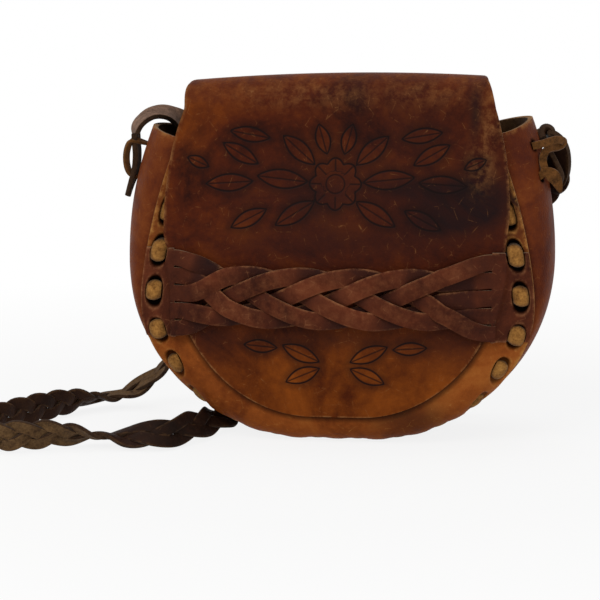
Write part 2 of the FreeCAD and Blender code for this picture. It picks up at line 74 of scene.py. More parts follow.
# Bag body, read from the frame where a node's box has the size
HIDE = 3.0
SEAM_GAP = 0.1
FLAP_GAP = 0.5
BAND_GAP = 0.4
BAND_SEAT_GAP = 0.3
PANEL_OUT = node_box("back_panel")[1][1]         # outer face of the panels, from mid depth
BELLY_HALF, _, PANEL_TOP = node_box("front_panel")[1]
CREST_HALF, _, GUSSET_TOP = node_box("gusset")[1]
BASE_HALF = 20.0
BELLY_Z = 95.0
PANEL_TOP_HALF = 107.0
SWELL = CREST_HALF - BELLY_HALF
SWELL_RISE = 15.0
SWELL_TOP = 6.0
DOME = 8.0
DOME_MARGIN = 16.0
SIDE_R = arc_radius(PANEL_TOP - BELLY_Z, BELLY_HALF - PANEL_TOP_HALF)
CORNER_RUN = quarter_run(BELLY_HALF - BASE_HALF, BELLY_Z)
SIDE_RUN = SIDE_R * math.asin((PANEL_TOP - BELLY_Z) / SIDE_R)
BELLY_RUN = BASE_HALF + CORNER_RUN               # along the panel's edge, from the middle of its base
TOP_RUN = BELLY_RUN + SIDE_RUN

# Rim of the panels, which the lacing has drawn under the bag along the base
RIM = 16.0
ROLL_ANGLE = math.radians(115.0)
ROLL_LEAST = math.radians(0.5)
ROLL_FULL_RUN = 68.0
ROLL_END_RUN = 158.0
BASE_LIFT = 0.7          # the rolled rim stands on its flattened stitches
STITCH_DRAW = 0.5        # how far a stitch pulls the rolled rim in
FRONT_TUCK = 16.0        # how far the closed flap draws the front's sides in at their top
BACK_TUCK = 14.0
TUCK_RUN = 140.0         # where along the edge that begins, and how slowly
TUCK_POWER = 1.35
EAR_DROP = 6.0           # how much lower the ears' rim is towards the front, and towards the back
EAR_BACK_DROP = 5.0
EAR_DROP_RUN = 200.0
LEFT_EAR_RISE = -3.6     # how much higher each ear stands than its pattern
RIGHT_EAR_RISE = 2.4     # from nothing at its front rim
EAR_RISE_Z = (130.0, 60.0)       # height where that begins, and over how much

# Flap
FLAP_TOP = node_box("flap_top")[1][2]
FLAP_NECK_HALF = node_box("flap_top")[1][0]
BAND_SQUEEZE = 4.0       # how much narrower the band draws each half of the flap
FLAP_HALF = node_box("flap_front")[1][0] - BAND_SQUEEZE
TONGUE_Z = node_box("flap_front")[0][2]
FLAP_HALF_Z = 115.0
TONGUE_HALF = 14.0
FOLD_R = 16.0
FOLD_Z = FLAP_TOP - FOLD_R
FOLD_RUN = FOLD_R * math.pi / 2
FLAP_OUT = PANEL_OUT + FLAP_GAP + HIDE
REAR_FOLD_Y = PANEL_OUT - FOLD_R
FRONT_FOLD_Y = FOLD_R - FLAP_OUT
HALF_TOP_RUN = (REAR_FOLD_Y - FRONT_FOLD_Y) / 2
TOP_RISE = 3.9           # of the front fold's middle over the flap's height
TOP_LEAN = 2.0           # how much more it rises at its right end
TOP_BOW = 3.4            # how far its ends hang
TOP_FALL = 3.5           # how much lower the rear fold is than the front one
TOP_NARROW = 0.085       # share by which its top is narrower than its neck
TOP_NARROW_RUN = (28.0, 6.0)     # how far below the front fold that begins, on the left and on the right
TOP_LEFT = 2.5           # how far its left edge stays out
TOP_EDGE = 3.5           # its side edges round down: over this width and by this height
TOP_EDGE_SINK = 1.6
FLAP_SPREAD = 3.6        # of its sides, with the heights where that begins and ends and over how much
FLAP_SPREAD_LEFT = (108.0, 20.0, 140.0, 65.0)
FLAP_SPREAD_RIGHT = (112.0, 35.0, 165.0, 55.0)
BACK_TOP_HALF = PANEL_TOP_HALF - BACK_TUCK
NECK_RUN = math.hypot(BACK_TOP_HALF - FLAP_NECK_HALF, FOLD_Z - PANEL_TOP)

# Patches on the flap and the front: place, radii and strength of darker, warm and rubbed ones
FLAP_DUSK = (
    (85, 150, 26, 20, 1.0), (58, 138, 30, 13, 0.8), (45, 154, 26, 8, 0.7), (-12, 146, 26, 14, 0.7),
    (-56, 150, 14, 12, 0.4), (12, 209, 8, 13, 0.55), (80, 199, 4, 15, 0.8), (0, 122, 70, 12, 0.6),
    (44, 188, 36, 20, 0.5), (-4, 164, 50, 16, 0.35), (70, 66, 24, 14, 0.5), (-74, 64, 18, 14, 0.4),
    (-10, 66, 50, 6, 0.5),
)
FLAP_GLOW = ((-30, 30, 70, 34, 0.9), (40, 30, 70, 34, 0.9), (-84, 190, 10, 26, 0.35),
             (-6, 172, 14, 14, 0.35))
FLAP_SCUFF = ((83, 168, 6, 12, 0.7), (-20, 207, 40, 7, 0.4), (55, 208, 26, 7, 0.3), (88, 190, 5, 20, 0.5))
PANEL_DUSK = ((44, 16, 22, 12, 0.8), (100, 146, 16, 44, 0.95), (-104, 140, 14, 40, 0.5))
TOP_SHEEN_AND_WEAR = 0.16          # strength of the lighter tan on the flap's top: rub and a painted highlight
PANEL_WORN = 3.0         # width of the rubbed edge of the panels and ears, the flap and the band
FLAP_WORN = 1.8
BAND_WORN = 1.6
STRIP_WORN = 0.72        # share of a strip's half width where its rubbed edge begins
HOLE_WORN = 0.6          # strength of the rubbed rim round a lace hole
TIP_FACTOR = 1.5         # height over the tongue's tip, times this, counts as distance from its edge
MARK_FAR = 9.0           # distance from a tooled line or lapped edge where it no longer shows

# Tooling of the flap: a rosette, and leaves of its right half as foot, angle, length and half width
ROSETTE = (0.0, 157.0, 15.0)
ROSETTE_PETALS = 8
ROSETTE_NOTCH = 0.2      # between its petals, then its eye and where its veins begin, as shares of its size
ROSETTE_EYE = 0.36
ROSETTE_VEINS = 0.5
LEAVES = (
    (12, 168, 42, 25, 5.0), (16, 158, 6, 30, 5.4), (12, 147, -32, 27, 5.0), (38, 183, 10, 24, 4.2),
    (45, 168, 30, 24, 4.4), (48, 158, -4, 28, 5.0), (40, 142, -28, 24, 4.4), (74, 166, 24, 14, 3.2),
    (5, 174, 74, 18, 4.2), (9, 52, 24, 24, 4.6), (9, 48, -24, 22, 4.4), (34, 60, 4, 20, 3.8),
)

# Lacing
STITCHES_PER_SIDE = 10
STITCH_PITCH = 24.0
SEAM_INSET = 8.0
HOLE_HALF_W = 4.9        # oval holes: across the seam and along it
HOLE_HALF_L = 9.6
HOLE_ROUND = 2.5         # power of the oval: 2 is an ellipse
HOLE_DEPTH = 2.7
HOLE_REACH = 1.1         # size of the pressed oval and of its rubbed rim, as shares of the hole
HOLE_RIM_REACH = 1.28
HOLE_SOFT = 0.2
HOLE_ROLLED = 0.5        # share by which the holes on the rolled rim are shallower
LACE_W = 9.2
LACE_T = 2.6
STITCH_CROWN = 3.0
STITCH_PRESSED = 0.92    # share by which the stitches under the base are pressed flat
STITCH_FLAT_CROWN = 0.2  # of the stitches pressed flat under the flap
STITCH_HALF_L = 6.9      # where the middle of the lace dives into its hole
STITCH_ROUND = 0.2       # share by which its edges dive earlier
STITCH_SINK = -2.4       # depth under the leather's face where it dives upright
STITCH_OVER = 0.56       # share of the lace's steps that lies on the outside
STITCH_STEPS = 28
STITCH_CURL = 3.2        # how far the lace's edges bend down, and how round
STITCH_CURL_ROUND = 0.85
LACE_INSIDE = -9.0
LACE_PINCH = 0.28        # share by which the lace is narrower where it dives
LACE_SHADE = 0.85         # painted shade where it dives, from which share of the stitch and over how much, and painted shade along its edges
LACE_SHADE_FROM = 0.26
LACE_SHADE_RUN = 0.3
LACE_EDGE_SHADE = 0.4
BAND_STITCHES = (5, 6, 7)

# Closing band
BAND_T = 2.4
BAND_LOW = node_box("band_end_left")[0][2]
BAND_HIGH = node_box("band_end_left")[1][2]
SLIT_LEFT = node_box("band_end_left")[1][0]
SLIT_RIGHT = node_box("band_end_right")[0][0]
BAND_EDGE_GAP = 0.3      # of the plates' ends from the panel's edge
BAND_HOLE_FLOOR = 0.3    # leather left under the plates' lace holes
STEP_CLEAR = 0.4         # from the flap's edge to the plates' step, and its length
STEP_RUN = 4.0
STRANDS = 5
STRAND_SLOT = 10.5
STRAND_END_W = 9.3
STRAND_W = 10.8
STRAND_LAP = 2.5         # how far a strand runs on into the plate it is cut from, and how deep
STRAND_DIP = 0.5
SLIT_SHADE = 0.45         # painted shade at the slits, and how far it reaches along the plates and strands
SLIT_SHADE_PLATE = 14.0
SLIT_SHADE_STRAND = 26.0
BRAID_Z = 91.0
BRAID_START = -92.0      # where the first strand leaves the middle
BRAID_SWING = 158.0      # length of one swing from edge to edge and back
BRAID_END = 62.0         # where the strands begin to run out to the right plate
ENTRY_LEFT = 34.0
ENTRY_RIGHT = 38.0
ENTRY_LIFT = 15.0        # length over which a strand rises from the plate
BRAID_HALF = 12.9
BRAID_LIFT = 2.3
BRAID_STEEP = 2.2
STRAND_CROWN = 0.9
STRAND_CLEAR = 0.15      # of a strand's end over the plate
STRAND_RUB = 0.15        # rubbed crown of the top third of a strand's rise
STRAND_EDGE = 0.84       # share of its half width where its edge begins, and how pale both edges are: wear, the upper edge paler as a painted highlight
STRAND_EDGE_WEAR_AND_HIGHLIGHT = (0.9, 0.3)
STRAND_SHADE = 0.9       # painted shade where it lies under others
STRAND_ROUND = 0.45      # of its cut edges
LEFT_ORDER = (4, 3, 0, 2, 1)     # strands at the plates' slits, from the lowest up
RIGHT_ORDER = (3, 4, 0, 2, 1)

# Shoulder strap: a flat end at each ear, and three strands braided between them
STRAP_FLAT_POINTS = 5    # of its route along each flat end, and how far that runs on under the braid
STRAP_FLAT_LAP = 0.6
TAB_W = 15.0
TAB_T = 3.0
TAB_TAIL = 0.4           # share of its width that a flat end's tail has, and of its length that widens
TAB_TAIL_RUN = 1 / 3
BRAID_CYCLE = 50.0
BRAID_LOOSE = 1.0        # share by which the braid is longer near the bag's lower corner,
BRAID_LOOSE_X = -105.0   # where that is, how far it reaches and up to what height
BRAID_LOOSE_REACH = 36.0
BRAID_LOOSE_Z = 45.0
BRAID_W = 18.8
STRAP_STRAND_W = 7.6
STRAP_STRAND_T = 2.4
STRAP_STRAND_RISE = 1.4
STRAP_STRAND_CROWN = 0.5
STRAP_STRANDS = 3
TAB_LEFT = (
    (-129.2, -5.0, 143.8), (-127.4, -3.5, 151.0), (-124.6, -1.0, 159.0), (-123.8, 0, 168.0),
    (-124.2, 0, 174.5), (-124.6, 0, 182.0),
)
TAB_RIGHT = (
    (127.4, -1, 151.0), (127.6, -1.5, 155.0), (126.8, -2, 161.0), (124.6, -1.5, 168.0),
    (122.8, 0, 174.0), (121.6, 1, 178.0),
)
STRAP_ROUTE = (
    ((-124.6, 0.0, 181.0), (-0.3, 1, 0)),
    ((-124.6, 0.2, 184.5), (-0.5, 1, 0)),
    ((-121.8, 2.0, 189.0), (-0.5, 1, 0.1)),
    ((-115.5, 7.0, 193.4), (-0.3, 1, 0.3)),
    ((-107.5, 13.0, 193.2), (-0.1, 1, 0.35)),
    ((-100.5, 23.0, 187.0), (0.3, 1, 0.2)),
    ((-98.0, 38.0, 180.0), (0.8, 0.6, 0)),
    ((-98.5, 45.5, 167.0), (1, 0, 0)),
    ((-99.0, 44.0, 122.0), (1, 0, 0)),
    ((-100.0, 45.0, 75.0), (1, 0, 0.2)),
    ((-106.0, 46.0, 39.0), (0.8, 0, 0.5)),
    ((-123.0, 48.0, 22.0), (0.35, 0.5, 0.7)),
    ((-138.0, 49.0, 11.5), (0.1, 0.9, 0.4)),
    ((-153.0, 45.0, 7.6), (0, 1, 0)),
    ((-169.0, 31.0, 8.8), (0, 0.8, -0.6)),
    ((-184.0, 7.0, 10.4), (0, 0.2, -1)),
    ((-201.0, -18.0, 10.4), (0, 0, -1)),
    ((-213.0, -44.0, 10.4), (0, 0, -1)),
    ((-209.0, -69.0, 10.4), (0, 0, -1)),
    ((-187.0, -76.5, 10.4), (0, 0.1, -1)),
    ((-164.0, -66.0, 10.4), (0.1, 0.4, -0.9)),
    ((-146.0, -59.0, 7.8), (0.1, 0.8, -0.5)),
    ((-129.0, -54.0, 6.4), (0.2, 1, 0.05)),
    ((-113.0, -58.0, 8.2), (0, 0.8, 0.6)),
    ((-99.0, -58.0, 10.4), (-0.1, 0.3, 0.95)),
    ((-88.0, -44.0, 10.4), (-0.3, 0.2, 0.95)),
    ((-80.0, -24.0, 9.6), (-0.5, 0.2, 0.85)),
    ((-72.0, -2.0, 7.4), (-0.85, 0.1, 0.5)),
    ((-67.0, 22.0, 6.2), (-0.97, 0, 0.25)),
    ((-65.0, 44.0, 7.8), (-0.92, 0, 0.38)),
    ((-54.0, 58.0, 10.8), (-0.4, 0, 0.9)),
    ((-26.0, 60.0, 9.8), (0, 0, 1)),
    ((4.0, 57.0, 9.8), (0, 0, 1)),
    ((44.0, 54.0, 11.0), (0, 0, 1)),
    ((78.0, 52.0, 26.0), (-0.5, 0, 0.8)),
    ((100.0, 51.0, 60.0), (-0.9, 0, 0.5)),
    ((109.0, 50.0, 98.0), (-1, 0, 0.2)),
    ((115.0, 46.0, 132.0), (-0.9, 0.5, 0.2)),
    ((121.0, 33.0, 146.0), (-0.8, 0.7, 0.1)),
    ((127.0, 18.0, 154.0), (-0.8, 0.6, 0)),
    ((129.8, 10.0, 163.5), (-0.8, 0.6, 0)),
    ((129.0, 8.0, 173.5), (-0.8, 0.6, 0)),
    ((126.0, 8.0, 180.0), (-0.6, 0.8, 0)),
    ((121.0, 9.0, 184.5), (-0.2, 1, 0)),
    ((118.8, 5.0, 182.0), (0, 1, 0)),
    ((121.6, 1.0, 178.0), (0, 1, 0)),
)

# Thongs that tie the strap ends to the ears
TIE_W = 4.4
TIE_T = 2.0
TIE_TAIL_W = 1.8         # of the leaf-shaped tail at its ends, how much it swells and how full
TIE_TAIL_SWELL = 6.2
TIE_TAIL_ROUND = 0.8
TIE_LEFT = (
    ((-112.0, 0.0, 168.0), (0, 1, 0)), ((-113.0, 0.0, 174.0), (0, 1, 0)), ((-117.0, -1.0, 175.5), (0, 1, 0)),
    ((-122.0, -5.0, 177.5), (0.2, 1, 0.4)), ((-126.5, -7.0, 178.0), (0.5, 0.8, 0.4)),
    ((-128.8, -8.0, 172.0), (0.6, 0.8, 0)), ((-129.2, -8.0, 165.0), (0.6, 0.8, 0)),
    ((-128.0, -7.0, 159.0), (0.5, 0.8, -0.2)), ((-125.5, -5.0, 156.0), (0.2, 1, 0)),
    ((-120.5, -2.0, 155.2), (0, 1, 0)), ((-115.5, 0.0, 157.5), (0, 1, 0)), ((-114.0, 0.0, 163.0), (0, 1, 0)),
)
TIE_RIGHT = (
    ((107.0, -12.0, 171.0), (0, 0.3, 1)), ((109.0, -15.0, 176.0), (0, 0, 1)),
    ((113.5, -20.0, 178.2), (-0.2, 0, 1)), ((120.0, -18.5, 179.6), (-0.2, 0, 1)),
    ((127.0, -14.0, 181.8), (0, 0, 1)), ((132.0, -8.0, 180.0), (0.3, 0, 1)),
    ((129.0, -9.0, 176.5), (0.8, 0, -0.6)), ((121.0, -15.0, 176.4), (0.8, 0, -0.8)),
    ((118.6, -18.0, 169.5), (1, 0, -0.2)), ((121.0, -20.0, 163.5), (0.9, 0, -0.3)),
    ((116.5, -20.5, 159.6), (0.5, 0, -0.8)), ((112.0, -15.0, 157.0), (0.5, 0, -0.8)),
)
TIE_TAIL = (
    ((118.4, -21.0, 165.0), (1, 0, 0.6)), ((122.5, -22.0, 163.0), (1, 0, 0.8)),
    ((127.5, -20.0, 159.0), (1, 0, 0.7)), ((129.8, -17.0, 151.0), (1, 0, 0.4)),
)
# Thong holes in the ears, painted near black as their shade, with no hole cut
EAR_HOLES = ((113.2, -18.0, 178.2), (117.2, -18.0, 159.2))
EAR_HOLE_R = 4.0
EAR_HOLE_SOFT = 1.2

# Fineness: columns and rows of each hide's grid, and steps between the points of a line
RIM_ROWS = 28
INNER_ROWS = 18
PANEL_ROWS = RIM_ROWS + INNER_ROWS
RIM_SHARE = RIM_ROWS / PANEL_ROWS
FRONT_COLUMNS = 340
BACK_COLUMNS = 330
FLAP_GRID = (190, 250)
GUSSET_GRID = (200, 84)
GUSSET_FLANGE = 0.4      # share of the gusset's rows that its two flanges take
LACE_ROWS = 8
PLATE_GRID = (40, 80)
STRAND_GRID = (260, 8)
STRIP_ROWS = 6
STRIP_ROUND = 0.6        # most that the edges of laces and strips are rounded
STRAP_STEPS = 14
TIE_STEPS = 10
TAB_STEPS = 8
GUIDE_REACH = 10.0       # from a line to the one beside it that guides its width
CREASE = math.radians(50.0)      # angle over which an edge is rounded and shaded sharp
MIRROR_MERGE = 0.01

# Camera at the photograph's view
VIEW_AZIMUTH = math.radians(6.0)
VIEW_ELEVATION = math.radians(10.0)
VIEW_DISTANCE = 1200.0
VIEW_TARGET = (-25.0, 0.0, 81.1)
MM_PER_PIXEL = 0.607
PHOTO_PIXELS = 600
SENSOR = 36.0

# Studio, in metres
FLOOR_SIZE = 60.0
LAMP_TARGET = (0, 0, 0.1)


def ease(share):
    """Smooth step from 0 to 1."""
    t = np.clip(share, 0, 1)
    return t * t * (3 - 2 * t)


# Meshes


def coordinates(piece):
    flat = np.empty(len(piece.data.vertices) * 3)
    piece.data.vertices.foreach_get("co", flat)
    return flat.reshape(-1, 3)


def set_coordinates(piece, points):
    piece.data.vertices.foreach_set("co", np.ascontiguousarray(points, dtype=np.float32).ravel())
    piece.data.update()


def set_mark(piece, mark, values):
    """Surface mark for the materials, as an attribute of the vertices."""
    attribute = piece.data.attributes.new(mark, "FLOAT", "POINT")
    attribute.data.foreach_set("value", np.ascontiguousarray(values, dtype=np.float32))


def apply_modifier(piece, kind, **settings):
    bpy.context.view_layer.objects.active = piece
    modifier = piece.modifiers.new(kind, kind)
    for name, value in settings.items():
        setattr(modifier, name, value)
    bpy.ops.object.modifier_apply(modifier=modifier.name)


def cut_hide(name, columns, rows, place, thickness, finish, mirror=False, carve=None, offset=-1.0, edge=0.5):
    """A flat piece of leather, bent to place(u, v) with u and v from 0 to 1, then given its thickness.

    place returns points and a dictionary of surface marks; carve is the mark that is pressed into
    the outer face, with its depth. finish is the grain, flesh and edge materials.
    """
    bpy.ops.object.select_all(action="DESELECT")
    bpy.ops.mesh.primitive_grid_add(x_subdivisions=columns, y_subdivisions=rows, size=1.0)
    piece = bpy.context.object
    piece.name = name
    piece.data.name = name
    flat = coordinates(piece) + 0.5
    points, marks = place(flat[:, 0], flat[:, 1])
    set_coordinates(piece, np.stack(points, 1) * MM)
    for mark, values in marks.items():
        set_mark(piece, mark, values)
    if mirror:
        apply_modifier(piece, "MIRROR", use_clip=True, merge_threshold=MIRROR_MERGE * MM)
    for material in finish:
        piece.data.materials.append(material)
    skin = len(piece.data.vertices)
    apply_modifier(piece, "SOLIDIFY", thickness=thickness * MM, offset=offset, use_even_offset=False,
                   material_offset=1, material_offset_rim=2)
    if carve:
        press(piece, skin, *carve)
    if edge:
        apply_modifier(piece, "BEVEL", width=edge * MM, segments=2, limit_method="ANGLE",
                       angle_limit=CREASE, material=-1)
    bpy.ops.object.shade_smooth_by_angle(angle=CREASE)
    return piece


def press(piece, skin, mark, depth):
    """Presses a mark into the first skin vertices, which are the outer face."""
    points = coordinates(piece)
    normals = np.empty(len(points) * 3, dtype=np.float32)
    piece.data.vertex_normals.foreach_get("vector", normals)
    amount = np.empty(len(points), dtype=np.float32)
    piece.data.attributes[mark].data.foreach_get("value", amount)
    points[:skin] -= normals.reshape(-1, 3)[:skin] * (amount[:skin, None] * depth * MM)
    set_coordinates(piece, points)


def join(pieces, name):
    bpy.ops.object.select_all(action="DESELECT")
    for piece in pieces:
        piece.select_set(True)
    bpy.context.view_layer.objects.active = pieces[0]
    bpy.ops.object.join()
    pieces[0].name = name
    pieces[0].data.name = name
    return pieces[0]


def smooth_line(points, steps):
    """Points read from the NURBS spline that has the given control points."""
    curve = bpy.data.curves.new("line", "CURVE")
    curve.dimensions = "3D"
    spline = curve.splines.new("NURBS")
    spline.points.add(len(points) - 1)
    for control, point in zip(spline.points, points):
        control.co = (*point, 1)
    spline.order_u = 3
    spline.use_endpoint_u = True
    curve.resolution_u = steps
    holder = bpy.data.objects.new("line", curve)
    mesh = bpy.data.meshes.new_from_object(holder)
    read = np.array([v.co for v in mesh.vertices])
    bpy.data.objects.remove(holder)
    bpy.data.curves.remove(curve)
    bpy.data.meshes.remove(mesh)
    return read


def unit(vectors):
    return vectors / np.linalg.norm(vectors, axis=1, keepdims=True)


def strip_axes(centre, across):
    """Width and outward directions of a strip, square to its line and to each other."""
    heading = unit(np.gradient(centre, axis=0))
    across = unit(across - heading * np.sum(across * heading, 1, keepdims=True))
    return across, np.cross(heading, across)


def ribbon(name, centre, across, width, thickness, finish, crown=0.0):
    """Flat strip of leather with its middle on centre and its width along across."""
    across, outward = strip_axes(centre, across)
    stations = len(centre) - 1
    width = np.broadcast_to(width, len(centre))

    def place(u, v):
        at = np.rint(u * stations).astype(int)
        aside = 2 * v - 1
        points = (centre[at] + across[at] * (aside * width[at] / 2)[:, None]
                  + outward[at] * (crown * (1 - aside ** 2))[:, None])
        return points.T, {"worn": ease((np.abs(aside) - STRIP_WORN) / (1 - STRIP_WORN))}
    return cut_hide(name, stations, STRIP_ROWS, place, thickness, finish, offset=0.0,
                    edge=min(STRIP_ROUND, thickness / 4))


def guided_line(route, steps):
    """Line along a route of points with width directions, and those directions along the line."""
    points = np.array([point for point, _ in route])
    widths = unit(np.array([width for _, width in route], dtype=float))
    line = smooth_line(points, steps)
    return line, smooth_line(points + widths * GUIDE_REACH, steps) - line


# Form of the bag


def outline(run, inset, swell=0.0, top=PANEL_TOP):
    """x and z on the right half of the bag's D, run along its edge and inset from it."""
    half = BELLY_HALF + SWELL * swell - inset
    z_half = BELLY_Z + SWELL_RISE * swell
    top_half = PANEL_TOP_HALF + SWELL_TOP * swell - inset
    r = arc_radius(top - z_half, half - top_half)
    corner = np.clip((run - BASE_HALF) / CORNER_RUN, 0, 1) * math.pi / 2
    side = np.clip((run - BELLY_RUN) / SIDE_RUN, 0, 1) * np.arcsin((top - z_half) / r)
    x = np.minimum(run, BASE_HALF) + (half - BASE_HALF) * np.sin(corner) - r * (1 - np.cos(side))
    z = inset + (z_half - inset) * (1 - np.cos(corner)) + r * np.sin(side)
    return x, z


def dome(x, z):
    """How far wear has pushed the front forward at x, z."""
    u = np.minimum(1, np.abs(x) / (BELLY_HALF - DOME_MARGIN))
    v = np.minimum(1, np.abs(2 * z - PANEL_TOP - DOME_MARGIN) / (PANEL_TOP - DOME_MARGIN))
    return DOME * (1 - u ** 2) ** 2 * (1 - v ** 2) ** 2


def rolled(run):
    """Share of the full roll that the rim has at a place along the edge."""
    return 1 - ease((run - ROLL_FULL_RUN) / (ROLL_END_RUN - ROLL_FULL_RUN))


def rim_roll(run):
    """Radius and whole angle of the rim's roll."""
    angle = np.maximum(ROLL_ANGLE * rolled(run), ROLL_LEAST)
    return RIM / np.sin(np.minimum(angle, math.pi / 2)), angle


def stitch_runs():
    """Place of each stitch along the panel's edge, on the right half."""
    inner_corner = quarter_run(BELLY_HALF - BASE_HALF - SEAM_INSET, BELLY_Z - SEAM_INSET)
    along = (np.arange(STITCHES_PER_SIDE) + 0.5) * STITCH_PITCH
    corner = np.clip((along - BASE_HALF) / inner_corner, 0, 1)
    return (np.minimum(along, BASE_HALF) + corner * CORNER_RUN
            + np.maximum(0, along - BASE_HALF - inner_corner))


def drawn_in(run):
    """How much the stitches pull the rolled rim in, from 0 between them to 1."""
    nearest = np.min(np.abs(run[:, None] - stitch_runs()[None, :]), axis=1)
    return ease(1 - nearest / (STITCH_PITCH / 2)) * rolled(run)


def rim(run, back, rise, top=PANEL_TOP, tuck=FRONT_TUCK):
    """Point back from the panel's edge along its surface, rise over its outer face, on the front."""
    side = np.sign(run)
    run = np.abs(run)
    r, angle = rim_roll(run)
    turn = np.maximum(angle - back / r, 0)
    flat = np.maximum(back - angle * r, 0)
    inset = RIM - (r + rise) * np.sin(turn) + flat + BASE_LIFT * rolled(run) + STITCH_DRAW * drawn_in(run)
    x, z = outline(run, inset + tuck * tucked(run), top=top)
    return np.where(side < 0, -x, x), -PANEL_OUT + r - (r + rise) * np.cos(turn), z


def tucked(run):
    """Share of the tuck at a place along the edge."""
    return np.clip((run - TUCK_RUN) / (TOP_RUN - TUCK_RUN), 0, 1) ** TUCK_POWER


def hole_mark(run, back, size=HOLE_REACH):
    """1 inside an oval lace hole, 0 outside."""
    inside = np.zeros(run.shape)
    for place in stitch_runs():
        along = np.abs(run - place) / HOLE_HALF_L
        aside = np.abs(back - SEAM_INSET) / HOLE_HALF_W
        reach = (along ** HOLE_ROUND + aside ** HOLE_ROUND) ** (1 / HOLE_ROUND)
        inside = np.maximum(inside, ease((size - reach) / HOLE_SOFT))
    return inside


def hole_rim(run, back):
    """1 on the rubbed rim round a lace hole."""
    return hole_mark(run, back, HOLE_RIM_REACH) - hole_mark(run, back)


def spots(x, z, patches):
    """Sum of soft patches, each with its place, its two radii and its strength."""
    total = np.zeros(x.shape)
    for at_x, at_z, across, up, strength in patches:
        total += strength * np.exp(-((x - at_x) / across) ** 2 - ((z - at_z) / up) ** 2)
    return np.clip(total, 0, 1)


def panel_point(run, v, tuck):
    """Panel's outer face from its edge (v = 0) to its middle line (v = 1), with its marks."""
    r, angle = rim_roll(run)
    back = np.minimum(v / RIM_SHARE, 1) * angle * r
    x, y, z = rim(run, back, 0.0, tuck=tuck)
    inner = np.clip((v - RIM_SHARE) / (1 - RIM_SHARE), 0, 1)
    z = z + (np.maximum(z, BELLY_Z) - z) * inner
    x = x * (1 - inner)
    worn = 1 - ease(np.where(inner > 0, RIM, back) / PANEL_WORN)
    return (x, y, z), {"hole": hole_mark(run, back) * (1 - HOLE_ROLLED * rolled(run)),
                       "worn": np.maximum(worn, HOLE_WORN * hole_rim(run, back))}


def front_panel(finish):
    def place(u, v):
        (x, y, z), marks = panel_point(u * TOP_RUN, v, FRONT_TUCK)
        return (x, y - dome(x, z), z), marks
    piece = cut_hide("front_hide", FRONT_COLUMNS, PANEL_ROWS, place, HIDE, finish, mirror=True,
                     carve=("hole", HOLE_DEPTH))
    x, _, z = (coordinates(piece) / MM).T
    set_mark(piece, "dusk", spots(x, z, PANEL_DUSK))
    set_mark(piece, "lap", beyond_tongue(np.abs(x), z))
    return piece


def beyond_tongue(x, z):
    """Distance from the edge of the closed flap's tongue, outside it; far away above the band."""
    half, drop = FLAP_HALF - TONGUE_HALF, FLAP_HALF_Z - TONGUE_Z
    reach = np.hypot(np.maximum(x - TONGUE_HALF, 0) / half, np.maximum(FLAP_HALF_Z - z, 0) / drop)
    return np.where(z < BAND_HIGH, np.clip((reach - 1) * (half + drop) / 2, -MARK_FAR, MARK_FAR), MARK_FAR)


def fold_over(height, out_y, fold_y, toward):
    """y and z of hide that climbs to the fold at height, bends over it and lies level."""
    turn = np.clip((height - FOLD_Z) / FOLD_R, 0, math.pi / 2)
    level = np.maximum(0, height - FOLD_Z - FOLD_RUN)
    y = np.where(height < FOLD_Z, out_y, fold_y - toward * (FOLD_R * np.cos(turn) - level))
    z = np.minimum(height, FOLD_Z) + FOLD_R * np.sin(turn)
    return y, z


def crown_top(piece):
    """Crowns the flap's top and keeps its left edge out.

    It sinks to the left, to the rear and towards its side edges.
    """
    points = coordinates(piece) / MM
    share = points[:, 0] / FLAP_NECK_HALF
    points[:, 0] += TOP_LEFT * np.minimum(share, 0) * ease((points[:, 2] - FOLD_Z) / FOLD_R)
    half = FLAP_NECK_HALF * (1 - TOP_NARROW / 2)
    edge = np.clip((np.abs(points[:, 0]) - half + TOP_EDGE) / TOP_EDGE, 0, 1)
    rear = ease((points[:, 1] - FRONT_FOLD_Y) / (REAR_FOLD_Y - FRONT_FOLD_Y))
    rise = TOP_RISE + TOP_LEAN * share - TOP_BOW * share ** 2 - TOP_FALL * rear
    rise = rise - TOP_EDGE_SINK * (1 - np.sqrt(1 - edge ** 2))
    points[:, 2] += rise * ease((points[:, 2] - PANEL_TOP) / (FLAP_TOP - PANEL_TOP))
    set_coordinates(piece, points * MM)
    return piece


def top_sheen_and_wear(height):
    """Lighter tan of the flap's top and folds, rub and a painted highlight, shared by the two hides that meet
    there.
    """
    return TOP_SHEEN_AND_WEAR * ease((height - FOLD_Z) / FOLD_R)


def back_hide(finish):
    """Back of the bag and the rear half of the top, one hide."""
    whole = TOP_RUN + NECK_RUN + FOLD_RUN + HALF_TOP_RUN

    def place(u, v):
        run = (1 - u) * whole
        (x, y, z), marks = panel_point(np.minimum(run, TOP_RUN), v, BACK_TUCK)
        beyond = np.maximum(run - TOP_RUN, 0)
        neck = np.clip(beyond / NECK_RUN, 0, 1)
        x = x * (1 - neck * (1 - FLAP_NECK_HALF / BACK_TOP_HALF * (1 - TOP_NARROW)))
        height = z + neck * (FOLD_Z - PANEL_TOP) + np.maximum(beyond - NECK_RUN, 0)
        over_y, over_z = fold_over(height, PANEL_OUT, REAR_FOLD_Y, -1)
        marks["hole"] = np.where(beyond > 0, 0, marks["hole"])
        marks["glow"] = top_sheen_and_wear(height)
        marks["worn"] = np.maximum(marks["worn"], top_sheen_and_wear(height))
        return (x, np.where(beyond > 0, over_y, -y), over_z), marks
    return crown_top(cut_hide("back_hide", BACK_COLUMNS, PANEL_ROWS, place, HIDE, finish, mirror=True,
                              carve=("hole", HOLE_DEPTH), edge=0.0))


